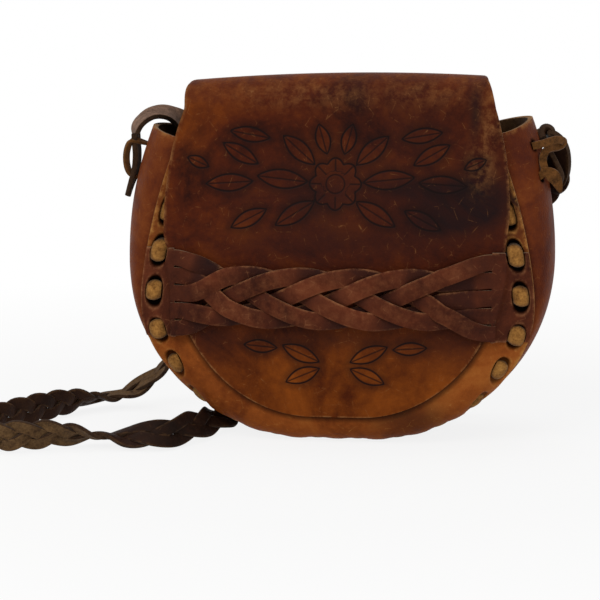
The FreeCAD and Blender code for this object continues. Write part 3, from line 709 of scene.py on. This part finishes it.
def flap_half_width(run):
    """Half width and height of the flap, run up its edge from the tip of its tongue."""
    drop = FLAP_HALF_Z - TONGUE_Z
    tongue_run = quarter_run(FLAP_HALF - TONGUE_HALF, drop)
    inward, rise = FLAP_HALF - FLAP_NECK_HALF, FOLD_Z - FLAP_HALF_Z
    r = arc_radius(rise, inward)
    side_run = r * math.asin(rise / r)
    corner = np.clip(run / tongue_run, 0, 1) * math.pi / 2
    side = np.clip(run - tongue_run, 0, side_run) / r
    half = TONGUE_HALF + (FLAP_HALF - TONGUE_HALF) * np.sin(corner) - r * (1 - np.cos(side))
    height = FLAP_HALF_Z - drop * np.cos(corner) + r * np.sin(side)
    return half, height + np.maximum(0, run - tongue_run - side_run), tongue_run + side_run


def flap_spread(height, left):
    """How far the flap's sides spread between its neck and the band, lower down on the left."""
    low, low_rise, high, high_rise = FLAP_SPREAD_LEFT if left else FLAP_SPREAD_RIGHT
    return FLAP_SPREAD * ease((height - low) / low_rise) * (1 - ease((height - high) / high_rise))


def tooling(x, z):
    """Signed distance to the tooled rosette and leaves, and to the veins inside them."""
    x = np.abs(x)
    at_x, at_z, size = ROSETTE
    r = np.hypot(x - at_x, z - at_z)
    turn = np.arctan2(z - at_z, x - at_x)
    petals = ROSETTE_PETALS / 2
    motif = r - size * (1 - ROSETTE_NOTCH * (1 - np.abs(np.cos(petals * turn))))
    vein = np.where(r < size * ROSETTE_VEINS, r - size * ROSETTE_EYE, r * np.sin(petals * turn) / petals)
    for foot_x, foot_z, angle, length, half in LEAVES:
        lean = math.radians(angle)
        along = (x - foot_x) * math.cos(lean) + (z - foot_z) * math.sin(lean)
        aside = (z - foot_z) * math.cos(lean) - (x - foot_x) * math.sin(lean)
        leaf = np.abs(aside) - half * (1 - (2 * along / length - 1) ** 2)
        vein = np.where(leaf < motif, aside, vein)
        motif = np.minimum(motif, leaf)
    return np.clip(motif, -MARK_FAR, MARK_FAR), np.clip(vein, -MARK_FAR, MARK_FAR)


def flap_hide(finish):
    """Front half of the top and the hanging flap, one hide."""
    whole = flap_half_width(np.zeros(1))[2] + FOLD_RUN + HALF_TOP_RUN

    def place(u, v):
        half, height, _ = flap_half_width(v * whole)
        aside = 2 * u - 1
        spread = np.where(aside < 0, flap_spread(height, True), flap_spread(height, False))
        below = np.where(aside < 0, *TOP_NARROW_RUN)
        narrow = TOP_NARROW * ease((height - FOLD_Z + below) / (FOLD_RUN + HALF_TOP_RUN + below))
        half = (half + spread) * (1 - narrow)
        x = aside * half
        y, z = fold_over(height, -FLAP_OUT, FRONT_FOLD_Y, 1)
        y = y - np.where(height < FOLD_Z, dome(x, height), 0)
        from_edge = np.minimum(half - np.abs(x), (height - TONGUE_Z) * TIP_FACTOR)
        scuff = np.maximum(spots(x, height, FLAP_SCUFF), top_sheen_and_wear(height))
        motif, vein = tooling(x, height)
        return (x, y, z), {
            "worn": np.maximum(1 - ease(from_edge / FLAP_WORN), scuff),
            "dusk": spots(x, height, FLAP_DUSK),
            "glow": np.maximum(spots(x, height, FLAP_GLOW), top_sheen_and_wear(height)),
            "motif": motif,
            "vein": vein,
        }
    return crown_top(cut_hide("flap_hide", *FLAP_GRID, place, HIDE, finish, edge=0.0))


def gusset(finish):
    """Side and bottom wall with its two flanges under the panels' rims."""
    def place(u, v):
        run = u * TOP_RUN
        s = 2 * v - 1
        front = s > 0
        tuck = np.where(front, FRONT_TUCK, BACK_TUCK)
        r, angle = rim_roll(run)
        under = -HIDE - SEAM_GAP
        edge_x, edge_y, edge_z = rim(run, np.zeros(run.shape), under, GUSSET_TOP, tuck)
        back = np.maximum(0, np.abs(s) - 1 + GUSSET_FLANGE) / GUSSET_FLANGE * angle * r
        flange_x, flange_y, flange_z = rim(run, back, under, GUSSET_TOP, tuck)
        round_turn = np.minimum(np.abs(s) / (1 - GUSSET_FLANGE), 1) * math.pi / 2
        swell = np.cos(round_turn)
        edge_inset = RIM - (r + under) * np.sin(angle) + tuck * tucked(run)
        lift = BASE_LIFT * rolled(run)
        wall_x, wall_z = outline(run, edge_inset * (1 - swell) + lift, swell, GUSSET_TOP)
        on_wall = back <= 0
        x = np.where(on_wall, wall_x, flange_x)
        drop = np.where(front, EAR_DROP, EAR_BACK_DROP) * (1 - swell)
        drop = drop * ease((run - EAR_DROP_RUN) / (TOP_RUN - EAR_DROP_RUN))
        z = np.where(on_wall, wall_z, flange_z) - drop
        y = np.where(on_wall, edge_y * np.sin(round_turn), flange_y)
        return (x, y * np.sign(s), z), {"worn": ease((run - TOP_RUN + PANEL_WORN) / PANEL_WORN)}
    piece = cut_hide("gusset_hide", *GUSSET_GRID, place, HIDE, finish, mirror=True)
    points = coordinates(piece) / MM
    to_crest = ease(points[:, 1] / PANEL_OUT + 1)
    rise = np.where(points[:, 0] < 0, LEFT_EAR_RISE, RIGHT_EAR_RISE * to_crest)
    points[:, 2] += rise * ease((points[:, 2] - EAR_RISE_Z[0]) / EAR_RISE_Z[1])
    set_coordinates(piece, points * MM)
    # Painted shade: a near black disc on each ear where a thong goes through
    hole = np.zeros(len(points))
    for middle in EAR_HOLES:
        away = np.linalg.norm(points - np.array(middle), axis=1)
        hole = np.maximum(hole, ease((EAR_HOLE_R - away) / EAR_HOLE_SOFT + 0.5))
    set_mark(piece, "hole", hole)
    return piece


def seam_lace(name, side, finish):
    """One lace in running stitch along a seam: side -1 front, 1 back."""
    runs = stitch_runs()
    middles = np.concatenate([-runs[::-1], runs])
    count = np.concatenate([np.arange(STITCHES_PER_SIDE)[::-1], np.arange(STITCHES_PER_SIDE)])
    gaps = np.diff(middles) / 2
    before = np.concatenate([[STITCH_PITCH / 2], gaps])
    after = np.concatenate([gaps, [STITCH_PITCH / 2]])
    tuck = FRONT_TUCK if side < 0 else BACK_TUCK
    under_flap = max(BAND_STITCHES) if side < 0 else STITCHES_PER_SIDE

    def place(u, v):
        at = u * len(middles)
        stitch = np.minimum(at.astype(int), len(middles) - 1)
        off = 2 * (at - stitch) - 1
        share = np.abs(off)
        gap = np.where(off < 0, before[stitch], after[stitch])
        over = np.clip(share / STITCH_OVER, 0, 1) * math.pi / 2
        below = np.clip((share - STITCH_OVER) / (1 - STITCH_OVER), 0, 1) * math.pi / 2
        aside = 2 * v - 1
        half = STITCH_HALF_L * (1 - STITCH_ROUND * aside ** 2)
        along = half * np.sin(over) + (gap - half) * (1 - np.cos(below))
        run = (middles[stitch] + np.sign(off) * along) * -side
        banded = np.isin(count[stitch], BAND_STITCHES) & (side < 0)
        face = np.where(banded, BAND_SEAT_GAP + BAND_T, 0)
        crown = face + STITCH_CROWN * (1 - STITCH_PRESSED * rolled(np.abs(run)))
        crown = np.where(count[stitch] > under_flap, STITCH_FLAT_CROWN, crown)
        dive = face + STITCH_SINK
        rise = dive + (crown - dive) * np.cos(over) - (dive - LACE_INSIDE) * np.sin(below)
        curl = 1 - np.sqrt(1 - STITCH_CURL_ROUND * aside ** 2)
        rise = rise - STITCH_CURL * curl * np.cos(over)
        width = LACE_W * (1 - LACE_PINCH * (1 - np.sqrt(np.cos(over))))
        x, y, z = rim(run, SEAM_INSET + aside * width / 2, rise, tuck=tuck)
        # Painted shade: the lace darkens where it dives into its hole and along its edges
        dusk = LACE_SHADE * ease((share - LACE_SHADE_FROM) / LACE_SHADE_RUN)
        return (x, y * -side, z), {"hole": np.maximum(dusk, LACE_EDGE_SHADE * aside ** 4)}
    return cut_hide(name, STITCH_STEPS * len(middles), LACE_ROWS, place, LACE_T, finish, edge=STRIP_ROUND)


def flap_edge(z):
    """Half the flap's width at height z on its tongue or side."""
    drop = np.clip((FLAP_HALF_Z - z) / (FLAP_HALF_Z - TONGUE_Z), 0, 1)
    return TONGUE_HALF + (FLAP_HALF - TONGUE_HALF) * np.sqrt(1 - drop ** 2)


def belly_run(z):
    """Place along the panel's edge at height z."""
    corner = np.arccos(np.clip(1 - z / BELLY_Z, -1, 1))
    corner_run = BASE_HALF + np.minimum(corner / (math.pi / 2), 1) * CORNER_RUN
    side_run = SIDE_R * np.arcsin(np.maximum(z - BELLY_Z, 0) / SIDE_R)
    return np.where(z < BELLY_Z, corner_run, BELLY_RUN + side_run)


def band_plate(name, side, finish):
    """Laced end of the closing band, stepping up from the panel on to the flap."""
    slit = SLIT_LEFT if side < 0 else SLIT_RIGHT

    def place(u, v):
        z = BAND_LOW + (BAND_HIGH - BAND_LOW) * v
        run = belly_run(z)
        edge = outline(run, FRONT_TUCK * tucked(run))[0]
        share = u if side > 0 else 1 - u
        x = abs(slit) + (edge - BAND_EDGE_GAP - abs(slit)) * share
        inset = edge - x
        r, _ = rim_roll(run)
        depth = r - np.sqrt(r ** 2 - np.clip(RIM - inset, 0, RIM) ** 2)
        seat = -PANEL_OUT - BAND_SEAT_GAP - BAND_T + depth
        raised = -FLAP_OUT - BAND_GAP - BAND_T - dome(abs(slit), BRAID_Z)
        y = raised + (seat - raised) * ease((x - np.maximum(flap_edge(z), abs(slit)) - STEP_CLEAR) / STEP_RUN)
        near = np.minimum(np.minimum(z - BAND_LOW, BAND_HIGH - z), edge - x)
        worn = np.maximum(1 - ease(near / BAND_WORN), HOLE_WORN * hole_rim(run, inset))
        # Painted shade darkening the plate towards its slits
        slit_shade = SLIT_SHADE * (1 - ease((x - abs(slit)) / SLIT_SHADE_PLATE))
        return (side * x, y, z), {"hole": hole_mark(run, inset), "worn": worn, "dusk": slit_shade}
    return cut_hide(name, *PLATE_GRID, place, BAND_T, finish, carve=("hole", BAND_T - BAND_HOLE_FLOOR))


def from_slits(x):
    """Distance from the nearer plate's slits, along the band."""
    return np.minimum(x - SLIT_LEFT, SLIT_RIGHT - x)


def band_strand(number, finish):
    """One of the strands that the band is slit into: over the others outwards, under them inwards."""
    start_phase = 2 * math.pi * number / STRANDS
    middle_slot = (STRANDS - 1) / 2
    slots = [BAND_LOW + (BAND_HIGH - BAND_LOW) / 2 + (order.index(number) - middle_slot) * STRAND_SLOT
             for order in (LEFT_ORDER, RIGHT_ORDER)]

    def middle(x):
        phase = start_phase + 2 * math.pi * (np.minimum(x, BRAID_END) - BRAID_START) / BRAID_SWING
        z = BRAID_Z + BRAID_HALF * np.sin(phase)
        z = slots[0] + (z - slots[0]) * ease((x - SLIT_LEFT) / ENTRY_LEFT)
        z = slots[1] + (z - slots[1]) * ease((SLIT_RIGHT - x) / ENTRY_RIGHT)
        parted = ease(from_slits(x) / ENTRY_LIFT)
        over = np.tanh(BRAID_STEEP * np.sin(2 * phase)) / math.tanh(BRAID_STEEP)
        return z, BRAID_LIFT * (1 + over) * parted, parted

    def place(u, v):
        x = SLIT_LEFT - STRAND_LAP + (SLIT_RIGHT - SLIT_LEFT + 2 * STRAND_LAP) * u
        z, lift, parted = middle(x)
        slope = middle(x + 0.5)[0] - middle(x - 0.5)[0]
        off = 2 * v - 1
        aside = off * (STRAND_END_W + (STRAND_W - STRAND_END_W) * parted) / 2
        shrink = np.sqrt(1 + slope ** 2)
        seat = dome(np.clip(x, SLIT_LEFT, SLIT_RIGHT), BRAID_Z)
        face = -FLAP_OUT - BAND_GAP - BAND_T - STRAND_CLEAR
        dip = STRAND_DIP * ease(-from_slits(x) / STRAND_LAP)
        y = face - seat - lift - STRAND_CROWN * parted * (1 - off ** 2) + dip
        height = lift / (2 * BRAID_LIFT)
        rubbed = STRAND_RUB * ease(3 * height - 2) * (1 - off ** 2)
        free = ease(from_slits(x) / ENTRY_LEFT)
        edge = ease((np.abs(off) - STRAND_EDGE) / (1 - STRAND_EDGE)) * free
        # Pale rubbed edges, the upper one paler as a painted highlight
        edge = edge * np.where(off > 0, *STRAND_EDGE_WEAR_AND_HIGHLIGHT)
        # Painted shade where the strand lies under the others
        under = STRAND_SHADE * (1 - height) * ease(3 * free)
        # Painted shade darkening the strand towards the slits
        slit_shade = SLIT_SHADE * (1 - ease(from_slits(x) / SLIT_SHADE_STRAND))
        return (x - aside * slope / shrink, y, z + aside / shrink), {
            "worn": np.maximum(edge, rubbed), "dusk": np.maximum(under, slit_shade)}
    return cut_hide("band_strip_%d" % (number + 1), *STRAND_GRID, place, BAND_T, finish, edge=STRAND_ROUND)


def shoulder_strap(finish, flat_finish):
    """Flat ends and braided strands as one strap, and the line that it follows."""
    line, aside = guided_line(STRAP_ROUTE, STRAP_STEPS)
    near_bag = np.exp(-((line[1:, 0] - BRAID_LOOSE_X) / BRAID_LOOSE_REACH) ** 2)
    loose = BRAID_LOOSE * near_bag * (line[1:, 2] < BRAID_LOOSE_Z)
    lengths = np.linalg.norm(np.diff(line, axis=0), axis=1)
    turns = np.concatenate([[0], np.cumsum(lengths / (BRAID_CYCLE * (1 + loose)))])
    last = len(STRAP_ROUTE) - 1
    share = np.arange(len(line)) / (len(line) - 1) * last
    left = share <= STRAP_FLAT_POINTS + STRAP_FLAT_LAP
    right = share >= last - STRAP_FLAT_POINTS - STRAP_FLAT_LAP
    # The left flat end takes the paler finish: a painted sheen on its face
    parts = [ribbon("strap_flat", line[stretch], aside[stretch], TAB_W, TAB_T, face)
             for stretch, face in ((left, flat_finish), (right, finish))]
    braided = (share >= STRAP_FLAT_POINTS) & (share <= last - STRAP_FLAT_POINTS)
    across, outward = strip_axes(line, aside)
    swing = (BRAID_W - STRAP_STRAND_W) / 2
    for strand in range(STRAP_STRANDS):
        phase = 2 * math.pi * (turns + strand / STRAP_STRANDS)
        centre = (line + across * (swing * np.sin(phase))[:, None]
                  + outward * (STRAP_STRAND_RISE * np.sin(2 * phase))[:, None])
        parts.append(ribbon("strap_strand", centre[braided], across[braided], STRAP_STRAND_W,
                            STRAP_STRAND_T, finish, crown=STRAP_STRAND_CROWN))
    return join(parts, "shoulder_strap_braid"), line


def strap_end(name, points, turn, finish):
    """Flat end of the strap against an ear, narrowing to its tail, which turns to the front."""
    line = smooth_line(points, TAB_STEPS)
    up = np.arange(len(line)) / (len(line) - 1)
    width = TAB_W * (TAB_TAIL + (1 - TAB_TAIL) * ease(up / TAB_TAIL_RUN))
    aside = np.stack([-turn * (1 - ease(up)), np.ones(len(line)), 0 * up], 1)
    return ribbon(name, line, aside, width, TAB_T, finish)


def tie(name, route, finish, width=TIE_W, swell=0.0):
    """Thong along a route, with its width at its ends and how much it swells like a leaf."""
    line, aside = guided_line(route, TIE_STEPS)
    leaf = np.sin(math.pi * np.linspace(0, 1, len(line))) ** TIE_TAIL_ROUND
    return ribbon(name, line, aside, width + swell * leaf, TIE_T, finish)


# Materials


def colour(code):
    """Linear colour from an sRGB hex code."""
    parts = [int(code[i:i + 2], 16) / 255 for i in (1, 3, 5)]
    return tuple(c / 12.92 if c <= 0.04045 else ((c + 0.055) / 1.055) ** 2.4 for c in parts) + (1.0,)


def add(material, kind, inputs=None, **settings):
    """Adds a node with its settings; an input is a value, or a node and the name of its output."""
    made = material.node_tree.nodes.new("ShaderNode" + kind)
    for name, value in settings.items():
        setattr(made, name, value)
    for name, value in (inputs or {}).items():
        if isinstance(value, tuple) and isinstance(value[0], bpy.types.Node):
            material.node_tree.links.new(value[0].outputs[value[1]], made.inputs[name])
        else:
            made.inputs[name].default_value = value
    return made


def new_material(name):
    material = bpy.data.materials.new(name)
    material.use_nodes = True
    material.node_tree.nodes.clear()
    return material


def set_stops(ramp, *stops):
    """Colours along a ramp, each with its place, from the first to the last."""
    elements = ramp.color_ramp.elements
    for element, (place, code) in zip(elements, (stops[0], stops[-1])):
        element.position = place
        element.color = colour(code)
    for place, code in stops[1:-1]:
        elements.new(place).color = colour(code)


def grain_leather(name, deep, body, warm, worn, tooled=False, lapped=False):
    """Vegetable-tanned hide, oiled and handled for years.

    Tan colour drifts over centimetres, near black in darker patches and in painted shade, orange in
    warmer patches and as a painted highlight on the flap's top; fine pores, thin light scratches and
    fibres rubbed pale along cut edges.
    """
    m = new_material(name)
    place = add(m, "TexCoord")
    drift = add(m, "TexNoise", {"Vector": (place, "Object"), "Scale": 1 / (70 * MM), "Detail": 5.0,
                                "Roughness": 0.62, "Distortion": 1.2})
    mottle = add(m, "TexNoise", {"Vector": (place, "Object"), "Scale": 1 / (6 * MM), "Detail": 6.0,
                                 "Roughness": 0.72})
    mixed = add(m, "Math", {0: (mottle, "Fac"), 1: 0.35, 2: (drift, "Fac")}, operation="MULTIPLY_ADD")
    tone = add(m, "ValToRGB", {"Fac": (mixed, "Value")})
    set_stops(tone, (0.5, deep), (0.67, body), (0.86, warm))
    glow_tone = add(m, "ValToRGB", {"Fac": (mixed, "Value")})
    set_stops(glow_tone, (0.48, "#4c1e08"), (0.88, "#924a14"))
    glow = add(m, "Attribute", attribute_name="glow")
    dusk = add(m, "Attribute", attribute_name="dusk")
    dusky = add(m, "Math", {0: (dusk, "Fac"), 1: (drift, "Fac")}, operation="MULTIPLY")
    dusky = add(m, "Math", {0: (dusky, "Value"), 1: 1.7}, operation="MULTIPLY", use_clamp=True)
    scratch = add(m, "TexVoronoi", {"Vector": (place, "Object"), "Scale": 1 / (9 * MM)},
                  feature="DISTANCE_TO_EDGE")
    thin = add(m, "MapRange", {"Value": (scratch, "Distance"), "From Min": 0.004, "From Max": 0.024,
                               "To Min": 1.0, "To Max": 0.0})
    kept = add(m, "MapRange", {"Value": (mottle, "Fac"), "From Min": 0.52, "From Max": 0.66, "To Max": 0.55})
    fleck = add(m, "Math", {0: (thin, "Result"), 1: (kept, "Result")}, operation="MULTIPLY")
    rub = add(m, "Attribute", attribute_name="worn")
    broken = add(m, "MapRange", {"Value": (mottle, "Fac"), "From Min": 0.42, "From Max": 0.62})
    rubbed = add(m, "Math", {0: (rub, "Fac"), 1: (broken, "Result")}, operation="MULTIPLY")
    pores = add(m, "TexVoronoi", {"Vector": (place, "Object"), "Scale": 1 / (1.4 * MM)})
    relief = add(m, "Math", {0: (mottle, "Fac"), 1: 1.2, 2: (pores, "Distance")}, operation="MULTIPLY_ADD")
    hole = add(m, "Attribute", attribute_name="hole")
    layers = [
        # Orange on the glow mark: warmer patches, and a painted highlight on the flap's top
        ((glow, "Fac"), (glow_tone, "Color")),
        # Near black on the dusk mark: darker patches, and painted shade under the band's strands and at its
        # slits
        ((dusky, "Value"), colour("#1d1112")),
        ((fleck, "Value"), colour(worn)),
        ((rubbed, "Value"), colour(worn)),
    ]
    if tooled:
        relief, cuts = tool_marks(m, relief)
        layers.append(((cuts, "Value"), colour("#170d0c")))
    if lapped:
        # Painted shadow and dirt along the tongue's edge
        layers.append(((lap_line(m), "Result"), colour("#1c0e09")))
    # Painted shade: near black where a lace hole goes into the hide
    layers.append(((hole, "Fac"), colour("#060302")))
    skin = (tone, "Color")
    for factor, over in layers:
        skin = (add(m, "Mix", {"Factor": factor, "A": skin, "B": over}, data_type="RGBA"), "Result")
    bump = add(m, "Bump", {"Height": (relief, "Value"), "Strength": 0.25, "Distance": 0.6 * MM})
    gloss = add(m, "MapRange", {"Value": (mottle, "Fac"), "From Min": 0.3, "From Max": 0.7,
                                "To Min": 0.45, "To Max": 0.67})
    shine = add(m, "MapRange", {"Value": (hole, "Fac"), "To Min": 0.05, "To Max": 0.0})
    surface = add(m, "BsdfPrincipled", {"Base Color": skin, "Roughness": (gloss, "Result"),
                                        "Specular IOR Level": (shine, "Result"),
                                        "Normal": (bump, "Normal")})
    add(m, "OutputMaterial", {"Surface": (surface, "BSDF")})
    return m


def tool_marks(m, relief):
    """Swivel-knife cuts round the motif and its veins, and the ground matted dark beside them.

    Returns the relief with the cuts in it, and how dark the cuts and the ground are.
    """
    motif = add(m, "Attribute", attribute_name="motif")
    vein = add(m, "Attribute", attribute_name="vein")
    off_edge = add(m, "Math", {0: (motif, "Fac")}, operation="ABSOLUTE")
    edge = add(m, "MapRange", {"Value": (off_edge, "Value"), "From Min": 0.25, "From Max": 1.0,
                               "To Min": 1.0, "To Max": 0.0})
    off_vein = add(m, "Math", {0: (vein, "Fac")}, operation="ABSOLUTE")
    line = add(m, "MapRange", {"Value": (off_vein, "Value"), "From Min": 0.15, "From Max": 0.7,
                               "To Min": 0.8, "To Max": 0.0})
    inside = add(m, "Math", {0: (motif, "Fac"), 1: 0.0}, operation="LESS_THAN")
    veins = add(m, "Math", {0: (line, "Result"), 1: (inside, "Value")}, operation="MULTIPLY")
    cut = add(m, "Math", {0: (edge, "Result"), 1: (veins, "Value")}, operation="MAXIMUM")
    ground = add(m, "MapRange", {"Value": (motif, "Fac"), "From Max": 6.0, "To Min": 0.55, "To Max": 0.0})
    outside = add(m, "Math", {0: 1.0, 1: (inside, "Value")}, operation="SUBTRACT")
    matted = add(m, "Math", {0: (ground, "Result"), 1: (outside, "Value")}, operation="MULTIPLY")
    dark = add(m, "Math", {0: (cut, "Value"), 1: (matted, "Value")}, operation="MAXIMUM")
    lowered = add(m, "Math", {0: (cut, "Value"), 1: -2.5, 2: (relief, "Value")}, operation="MULTIPLY_ADD")
    return lowered, dark


def lap_line(m):
    """Dark line of dirt and shadow along the edge of the flap that lies on this leather."""
    lap = add(m, "Attribute", attribute_name="lap")
    off_edge = add(m, "Math", {0: (lap, "Fac")}, operation="ABSOLUTE")
    return add(m, "MapRange", {"Value": (off_edge, "Value"), "From Min": 0.6, "From Max": 4.2,
                               "To Min": 0.8, "To Max": 0.0})


def suede(name, deep, light):
    """Split leather with its nap up: matt, with soft light and dark strokes where it was brushed."""
    m = new_material(name)
    place = add(m, "TexCoord")
    stroke = add(m, "TexNoise", {"Vector": (place, "Object"), "Scale": 1 / (5 * MM), "Detail": 5.0,
                                 "Roughness": 0.7})
    fuzz = add(m, "TexNoise", {"Vector": (place, "Object"), "Scale": 1 / (1.2 * MM), "Detail": 3.0,
                               "Roughness": 0.7})
    mixed = add(m, "Math", {0: (fuzz, "Fac"), 1: 0.6, 2: (stroke, "Fac")}, operation="MULTIPLY_ADD")
    tone = add(m, "ValToRGB", {"Fac": (mixed, "Value")})
    set_stops(tone, (0.55, deep), (1.0, light))
    # Painted shade: near black on the hole mark, where a lace dives into its hole and along its edges
    hole = add(m, "Attribute", attribute_name="hole")
    final = add(m, "Mix", {"Factor": (hole, "Fac"), "A": (tone, "Color"), "B": colour("#0c0604")},
                data_type="RGBA")
    bump = add(m, "Bump", {"Height": (fuzz, "Fac"), "Strength": 0.4, "Distance": 0.6 * MM})
    surface = add(m, "BsdfPrincipled", {"Base Color": (final, "Result"), "Roughness": 0.9,
                                        "Sheen Weight": 0.1, "Specular IOR Level": 0.06,
                                        "Normal": (bump, "Normal")})
    add(m, "OutputMaterial", {"Surface": (surface, "BSDF")})
    return m


# Dull brown nap on the inside of the hides
flesh_side = suede("suede_flesh_side", "#503521", "#785839")
# Raw fibres, pale beside the dark grain
cut_edge = suede("cut_leather_edge", "#5e3c22", "#a67a4a")
# Raw fibres of the slit band, darker than the panels' cut edges
band_edge = suede("cut_band_edge", "#4a2f20", "#94704c")
# Raw fibres of the strap, nearly as dark as its grain
strap_edge = suede("cut_strap_edge", "#24160f", "#4a3524")
# Thick lace with a soft golden nap, painted shade where it dives and along its edges
lace_suede = suede("golden_lace_suede", "#5e3816", "#b58040")
# Oiled red brown hide with near black patches, cut and matted by hand
flap_leather = grain_leather("tooled_flap_leather", "#2c100a", "#50200e", "#6c310f", "#8f6038", tooled=True)
# The same oiled hide, left plain
back_leather = grain_leather("oiled_back_leather", "#2c100a", "#50200e", "#6c310f", "#8f6038")
# Drier, lighter tan hide with a painted shadow and dirt line along the tongue's edge
panel_leather = grain_leather("tan_panel_leather", "#6e3412", "#934d1d", "#a9632a", "#b78042", lapped=True)
# Chestnut hide, even in colour, rubbed pale at the ears' rims
gusset_leather = grain_leather("chestnut_gusset_leather", "#4e2114", "#683016", "#80421d", "#9c683a")
# Dark handled hide, rubbed pale along its slit edges
band_leather = grain_leather("dark_band_leather", "#3a1a10", "#5a2b19", "#713922", "#946240")
# Near black hide, darkened by years of hands and oil
strap_leather = grain_leather("dark_strap_leather", "#1c110c", "#2e1c14", "#3e2819", "#5a4028")
# Brown nap of the strap's inner side
strap_flesh = suede("brown_strap_flesh", "#382516", "#715536")
# Grain worn off to a greyish tan nap
# Greyish tan nap: a paler copy of the strap's face as a painted sheen
strap_sheen_face = suede("sheen_painted_strap_face", "#4a3428", "#94735e")
# Dark brown nap of the narrow thongs
thong_suede = suede("thong_suede", "#38230f", "#764c25")


# Assembly


def settle(piece, body, slot, *nodes):
    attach(piece, body)
    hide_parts(*nodes)


settle(front_panel((panel_leather, flesh_side, cut_edge)), "bag", "panel_hide", "front_panel")
settle(gusset((gusset_leather, flesh_side, cut_edge)), "bag", "gusset_hide", "gusset")
for node, side in (("front_lace", -1), ("back_lace", 1)):
    settle(seam_lace(node + "_suede", side, (lace_suede,) * 3), "bag", "lace_suede", node)
for node, side in (("band_end_left", -1), ("band_end_right", 1)):
    settle(band_plate(node + "_hide", side, (band_leather, flesh_side, band_edge)), "bag", "band_hide", node)
for number in range(STRANDS):
    settle(band_strand(number, (band_leather, flesh_side, band_edge)), "bag", "band_hide",
           "band_strand_%d" % (number + 1))

back = back_hide((back_leather, flesh_side, cut_edge))
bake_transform(back)
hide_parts("back_panel")
flap = flap_hide((flap_leather, flesh_side, cut_edge))
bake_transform(flap)
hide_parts("flap_top", "flap_front")

strap_finish = (strap_leather, strap_flesh, strap_edge)
strap, strap_line = shoulder_strap(strap_finish, (strap_sheen_face, strap_leather, strap_edge))
settle(strap, "bag", "strap_leather", "shoulder_strap")
on_strap = []
for name, points, turn in (("left", TAB_LEFT, 0.0), ("right", TAB_RIGHT, 0.9)):
    on_strap.append(strap_end("strap_end_" + name, points, turn, strap_finish))
    settle(on_strap[-1], "bag", "strap_leather", "strap_tab_" + name)
thong_finish = (thong_suede,) * 3
thongs = {
    "left": tie("thong_left", TIE_LEFT, thong_finish),
    "right": join([tie("thong_loop", TIE_RIGHT, thong_finish),
                   tie("thong_tail", TIE_TAIL, thong_finish, TIE_TAIL_W, TIE_TAIL_SWELL)], "thong_right"),
}
for name, thong in thongs.items():
    settle(thong, "bag", "thong_suede", "tie_" + name)
    on_strap.append(thong)


# Floor, light and camera


def background_rays(m):
    """1 on a ray that shows the background: from the camera, off a glossy surface or through glass."""
    ray = add(m, "LightPath")
    shown = add(m, "Math", {0: (ray, "Is Camera Ray"), 1: (ray, "Is Glossy Ray")}, operation="MAXIMUM")
    return add(m, "Math", {0: (shown, "Value"), 1: (ray, "Is Transmission Ray")}, operation="MAXIMUM")


def studio():
    bpy.ops.object.select_all(action="DESELECT")
    bpy.ops.mesh.primitive_plane_add(size=FLOOR_SIZE)
    floor = bpy.context.object
    floor.name = "floor"
    m = new_material("pale_floor_paper")
    diffuse = add(m, "BsdfDiffuse", {"Color": colour("#f2f2f0")})
    white = add(m, "Emission", {"Color": colour("#ffffff"), "Strength": 1.0})
    place = add(m, "TexCoord")
    away = add(m, "VectorMath", {0: (place, "Object")}, operation="LENGTH")
    fade = add(m, "MapRange", {"Value": (away, "Value"), "From Min": 0.2, "From Max": 0.6, "To Min": 0.85,
                               "To Max": 1.0})
    share = add(m, "Math", {0: (background_rays(m), "Value"), 1: (fade, "Result")}, operation="MULTIPLY")
    mixed = add(m, "MixShader", {0: (share, "Value"), 1: (diffuse, "BSDF"), 2: (white, "Emission")})
    add(m, "OutputMaterial", {"Surface": (mixed, "Shader")})
    floor.data.materials.append(m)
    world = bpy.data.worlds.new("studio_world")
    bpy.context.scene.world = world
    world.use_nodes = True
    world.node_tree.nodes.clear()
    strength = add(world, "MapRange", {"Value": (background_rays(world), "Value"), "To Min": 0.3,
                                       "To Max": 1.0})
    back = add(world, "Background", {"Color": colour("#ffffff"), "Strength": (strength, "Result")})
    add(world, "OutputWorld", {"Surface": (back, "Background")})
    lamp("key", (-0.9, -1.5, 1.5), 1.2, 17.0)
    lamp("fill", (1.3, -1.2, 0.8), 1.4, 6.5)
    lamp("top", (0.1, 0.2, 1.8), 1.0, 6.5)


def lamp(name, place, size, power):
    bpy.ops.object.light_add(type="AREA", location=place)
    light = bpy.context.object
    light.name = name
    light.data.size = size
    light.data.energy = power
    aim(light, LAMP_TARGET)


def aim(thing, target):
    away = np.array(thing.location) - np.array(target)
    tilt = math.atan2(math.hypot(away[0], away[1]), away[2])
    thing.rotation_euler = (tilt, 0, math.atan2(away[0], -away[1]))


def camera():
    bpy.ops.object.camera_add()
    viewer = bpy.context.object
    level = math.cos(VIEW_ELEVATION) * VIEW_DISTANCE
    away = (math.sin(VIEW_AZIMUTH) * level, -math.cos(VIEW_AZIMUTH) * level,
            math.sin(VIEW_ELEVATION) * VIEW_DISTANCE)
    viewer.location = (np.array(VIEW_TARGET) + np.array(away)) * MM
    aim(viewer, np.array(VIEW_TARGET) * MM)
    viewer.data.sensor_width = SENSOR
    viewer.data.lens = SENSOR * VIEW_DISTANCE / (MM_PER_PIXEL * PHOTO_PIXELS)
    bpy.context.scene.camera = viewer


studio()
camera()
bpy.context.scene.view_settings.view_transform = "Standard"
